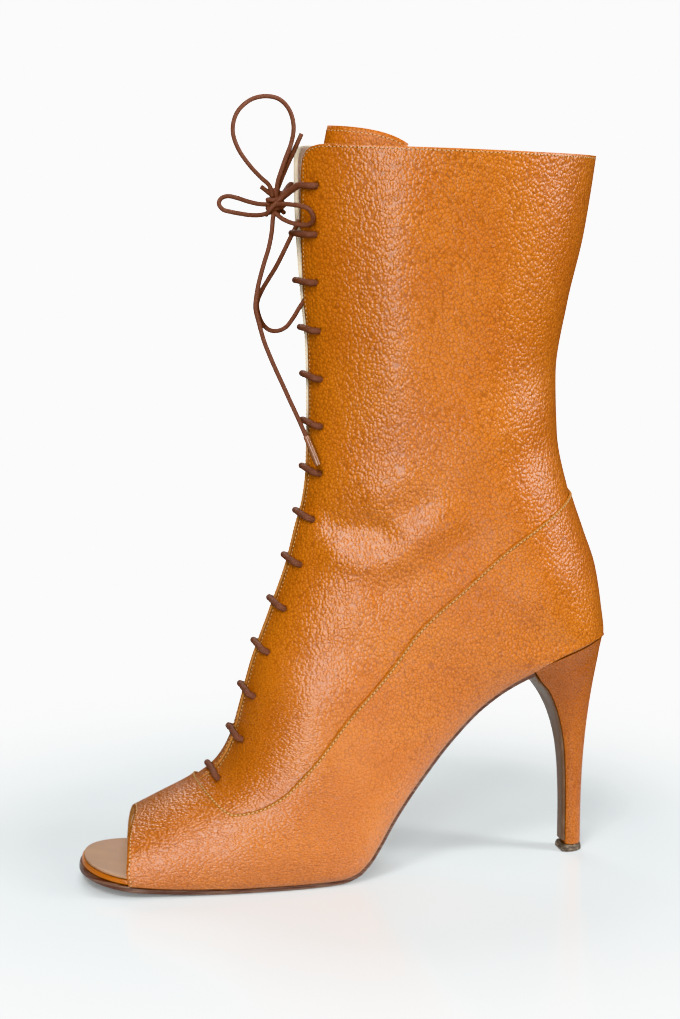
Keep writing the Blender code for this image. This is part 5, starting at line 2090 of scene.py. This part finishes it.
@dataclass
class Lacing:
    """The lace: two strands through all holes, and the bow with its free ends."""

    upper: Upper
    radius: float = 1.0
    bar_radius: float = 1.4
    over: float = 1.55
    under: float = -3.1
    pitch: float = 0.9
    knot: Triple = (-28.3, 0.0, 277.2)
    knot_pitch: float = 0.7
    knot_points: int = 60
    tip_length: float = 13.0
    tip_radius: float = 1.3
    tip_sides: int = 16
    ends: dict = field(
        default_factory=lambda: {"lace_end_long": CordEnd.TIPPED, "lace_tail_up": CordEnd.BARE}
    )

    def spot(self, t: float, side: Side, distance: float, off: float) -> np.ndarray:
        """Give a point near the lacing, where a negative distance lies on the other side.

        Args:
            t: Row of the section tables.
            side: Half of the boot.
            distance: Distance from the ridge.
            off: Height over the leather.

        Returns:
            The point.
        """
        if distance < 0.0:
            side, distance = side.other, -distance
        line = np.array([distance])
        return self.upper.last.at(t, side, line)[0] + self.upper.last.outward(t, side, line)[0] * off

    def bar(self, t: float, side: Side) -> list[np.ndarray]:
        """Give the points of one bar, out of a hole, over the throat and into the hole across.

        Args:
            t: Row of the holes.
            side: Side where the bar comes out.

        Returns:
            The points.
        """
        gap = self.upper.last.half_gap(t)
        hole = gap + self.upper.hole_inset
        half = [(hole + 0.5, self.under), (hole + 0.2, -0.8), (hole - 1.3, self.over - 0.05)]
        half += [(hole - 4.6, self.over), (gap + 0.6, self.over), (0.45 * gap, self.over - 0.25)]
        first = [self.spot(t, side, distance, off) for distance, off in half]
        other = [self.spot(t, side, -distance, off) for distance, off in reversed(half)]
        return first + other

    def strand(self, bars: Sequence[float], every: Sequence[float], side: Side) -> np.ndarray:
        """Give the line of one strand: straight bars outside, upright runs inside, and an end to the knot.

        Args:
            bars: Rows that the strand crosses.
            every: All rows of holes.
            side: Side where the first bar comes out.

        Returns:
            The line.
        """
        points = [self.spot(every[0], side, self.upper.hole_inset + 2.0, self.under - 0.3)]
        level = None
        for t in bars:
            if level is not None:
                middle = 0.5 * (level + t)
                reach = self.upper.last.half_gap(middle) + self.upper.hole_inset + 2.8
                points.append(self.spot(middle, side, reach, self.under - 0.2))
            points += self.bar(t, side)
            level = t
            side = side.other
        top = every[-1]
        middle = 0.5 * (level + top)
        hole = self.upper.last.half_gap(top) + self.upper.hole_inset
        points.append(self.spot(middle, side, hole + 2.0, self.under - 0.2))
        for distance, off in ((0.5, 0.0), (0.2, 2.2), (-1.3, 4.35), (-4.6, 4.5), (-8.4, 4.7)):
            points.append(self.spot(top, side, hole + distance, self.under + off))
        aside = side.value * self.radius
        points.append(np.array(self.knot) + (3.6, aside * 2.4, 3.2))
        points.append(np.array(self.knot) + (0.6, aside * 1.6, 0.6))
        return smooth_run(points, self.pitch)

    def build_strands(self) -> None:
        """Make the two strands of the laced throat."""
        rows = self.upper.lace_positions()
        names = [f"lace_bar_{k:02d}" for k in range(1, len(rows) + 1)]
        for name, bars, nodes in (
            ("lace_strand_odd", rows[0:-1:2], names[::2]),
            ("lace_strand_even", rows[1:-1:2], names[1::2]),
        ):
            make_cord(name, [self.strand(bars, rows, Side.LATERAL)], self.bar_radius, nodes)

    def build_knot(self) -> None:
        """Make the knot as turns of cord over a core."""
        turn = np.linspace(0.0, 2.0 * math.pi * 2.4, self.knot_points)
        rise = np.linspace(-4.0, 4.2, self.knot_points)
        wraps = np.stack([3.3 * np.cos(turn), 3.1 * np.sin(turn), rise + 0.8 * np.sin(turn)], axis=1)
        lines = [smooth_run(np.array(path) + self.knot, self.knot_pitch) for path in (wraps, *KNOT)]
        make_cord("lace_knot_turns", lines, self.radius, ["lace_knot"])

    def build_tip(self, line: np.ndarray) -> bpy.types.Object:
        """Make the glossy sleeve on the end of a run.

        Args:
            line: The run's centre line.

        Returns:
            The sleeve.
        """
        run = running(line)
        end = line[run > run[-1] - self.tip_length]
        return make_cord("lace_end_sleeve", [end], self.tip_radius, finish=CLEAR_TIP, sides=self.tip_sides)

    def build_bow(self) -> None:
        for name, path in BOW.items():
            line = smooth_run(path, self.pitch)
            nodes = [name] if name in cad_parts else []
            piece = make_cord(f"{name}_cord", [line], self.radius, nodes)
            end = self.ends.get(name, CordEnd.INTO_BOOT)
            with_pieces = [self.build_tip(line)] if end is CordEnd.TIPPED else []

    def build(self) -> None:
        """Make the whole lace."""
        self.build_strands()
        self.build_knot()
        self.build_bow()


@dataclass(frozen=True)
class Lamp:
    """A soft light: its place round the boot in degrees and metres, its size in metres and its watts."""

    name: str
    azimuth: float
    elevation: float
    distance: float
    size: tuple[float, float]
    power: float


@dataclass
class Studio:
    """The floor, the lights and the camera at the photograph's viewing angle."""

    target: Triple = (-0.00035, 0.00432, 0.1505)
    azimuth: float = -13.0
    elevation: float = 8.5
    distance: float = 0.9
    sensor: float = 36.0
    lens: float = 2160.0 * 36.0 / 1019.0
    floor_half: float = 0.38
    floor_front: float = -0.22
    tone_curve: str = "Khronos PBR Neutral"
    sky: float = 0.07
    backdrop: float = 2.2
    warm_white: Triple = (1.0, 0.97, 0.91)
    lamps: tuple[Lamp, ...] = (
        Lamp("key", -21.0, 10.0, 1.4, (0.30, 1.15), 13.5),
        Lamp("upper_front", -36.0, 46.0, 1.6, (0.5, 0.5), 14.0),
        Lamp("fill", 66.0, 22.0, 1.6, (0.6, 0.8), 22.0),
        Lamp("low", 18.0, -17.0, 0.47, (0.18, 0.10), 0.28),
        Lamp("rear", 178.0, 38.0, 1.6, (0.9, 0.9), 13.0),
        Lamp("top", -10.0, 84.0, 2.2, (1.4, 1.4), 9.5),
    )

    def aim(self, thing: bpy.types.Object, azimuth: float, elevation: float, distance: float) -> None:
        """Place a camera or light round the target and point it there.

        Args:
            thing: The camera or light.
            azimuth: Degrees to the side.
            elevation: Degrees above the floor.
            distance: Metres from the target.
        """
        a, e = math.radians(azimuth), math.radians(elevation)
        back = Vector((math.sin(a) * math.cos(e), -math.cos(a) * math.cos(e), math.sin(e)))
        thing.location = Vector(self.target) + back * distance
        thing.rotation_euler = back.to_track_quat("Z", "Y").to_euler()
        bpy.context.scene.collection.objects.link(thing)

    def build_camera(self) -> None:
        """Make the camera."""
        view = bpy.data.cameras.new("camera")
        view.lens = self.lens
        view.sensor_width = self.sensor
        view.clip_start = 0.01
        camera = bpy.data.objects.new("camera", view)
        self.aim(camera, self.azimuth, self.elevation, self.distance)
        bpy.context.scene.camera = camera

    def build_light(self, lamp: Lamp) -> None:
        """Make one soft light.

        Args:
            lamp: What it is like.
        """
        glow = bpy.data.lights.new(lamp.name, "AREA")
        glow.shape = "RECTANGLE"
        glow.size, glow.size_y = lamp.size
        glow.energy = lamp.power
        glow.color = self.warm_white
        self.aim(bpy.data.objects.new(lamp.name, glow), lamp.azimuth, lamp.elevation, lamp.distance)

    def build_floor(self) -> None:
        """Make the floor."""
        shape = bmesh.new()
        bmesh.ops.create_grid(shape, x_segments=2, y_segments=2, size=self.floor_half)
        bmesh.ops.translate(shape, verts=shape.verts, vec=(0.0, self.floor_half + self.floor_front, 0.0))
        mesh = bpy.data.meshes.new("floor")
        shape.to_mesh(mesh)
        shape.free()
        mesh.materials.append(GROUND.material())
        floor = bpy.data.objects.new("floor", mesh)
        bpy.context.scene.collection.objects.link(floor)

    def build_world(self) -> None:
        """Make a white backdrop that lights the boot less than it shows."""
        scene = bpy.context.scene
        scene.view_settings.view_transform = self.tone_curve
        world = bpy.data.worlds.new("studio")
        scene.world = world
        world.use_nodes = True
        tree = world.node_tree
        sky = tree.nodes["Background"]
        wall = tree.nodes.new("ShaderNodeBackground")
        for glow, strength in ((sky, self.sky), (wall, self.backdrop)):
            glow.inputs["Color"].default_value = (1.0, 1.0, 1.0, 1.0)
            glow.inputs["Strength"].default_value = strength
        path = tree.nodes.new("ShaderNodeLightPath")
        join = tree.nodes.new("ShaderNodeMixShader")
        tree.links.new(path.outputs["Is Camera Ray"], join.inputs["Fac"])
        tree.links.new(sky.outputs["Background"], join.inputs[1])
        tree.links.new(wall.outputs["Background"], join.inputs[2])
        tree.links.new(join.outputs["Shader"], tree.nodes["World Output"].inputs["Surface"])

    def build(self) -> None:
        """Make the studio."""
        self.build_world()
        for lamp in self.lamps:
            self.build_light(lamp)
        self.build_floor()
        self.build_camera()


def main() -> None:
    """Build the boot's looks and the studio."""
    logging.basicConfig(level=logging.INFO, format="%(name)s: %(message)s")
    Studio().build()
    last = Last()
    seams = Seams()
    upper = Upper(last, Creases(), seams)
    Lacing(upper).build()
    upper.build()
    Tongue(last, seams).build()
    Bottom(last).build()
    HeelBlock(last).build()
    seams.build()


if __name__ == "__main__":
    main()
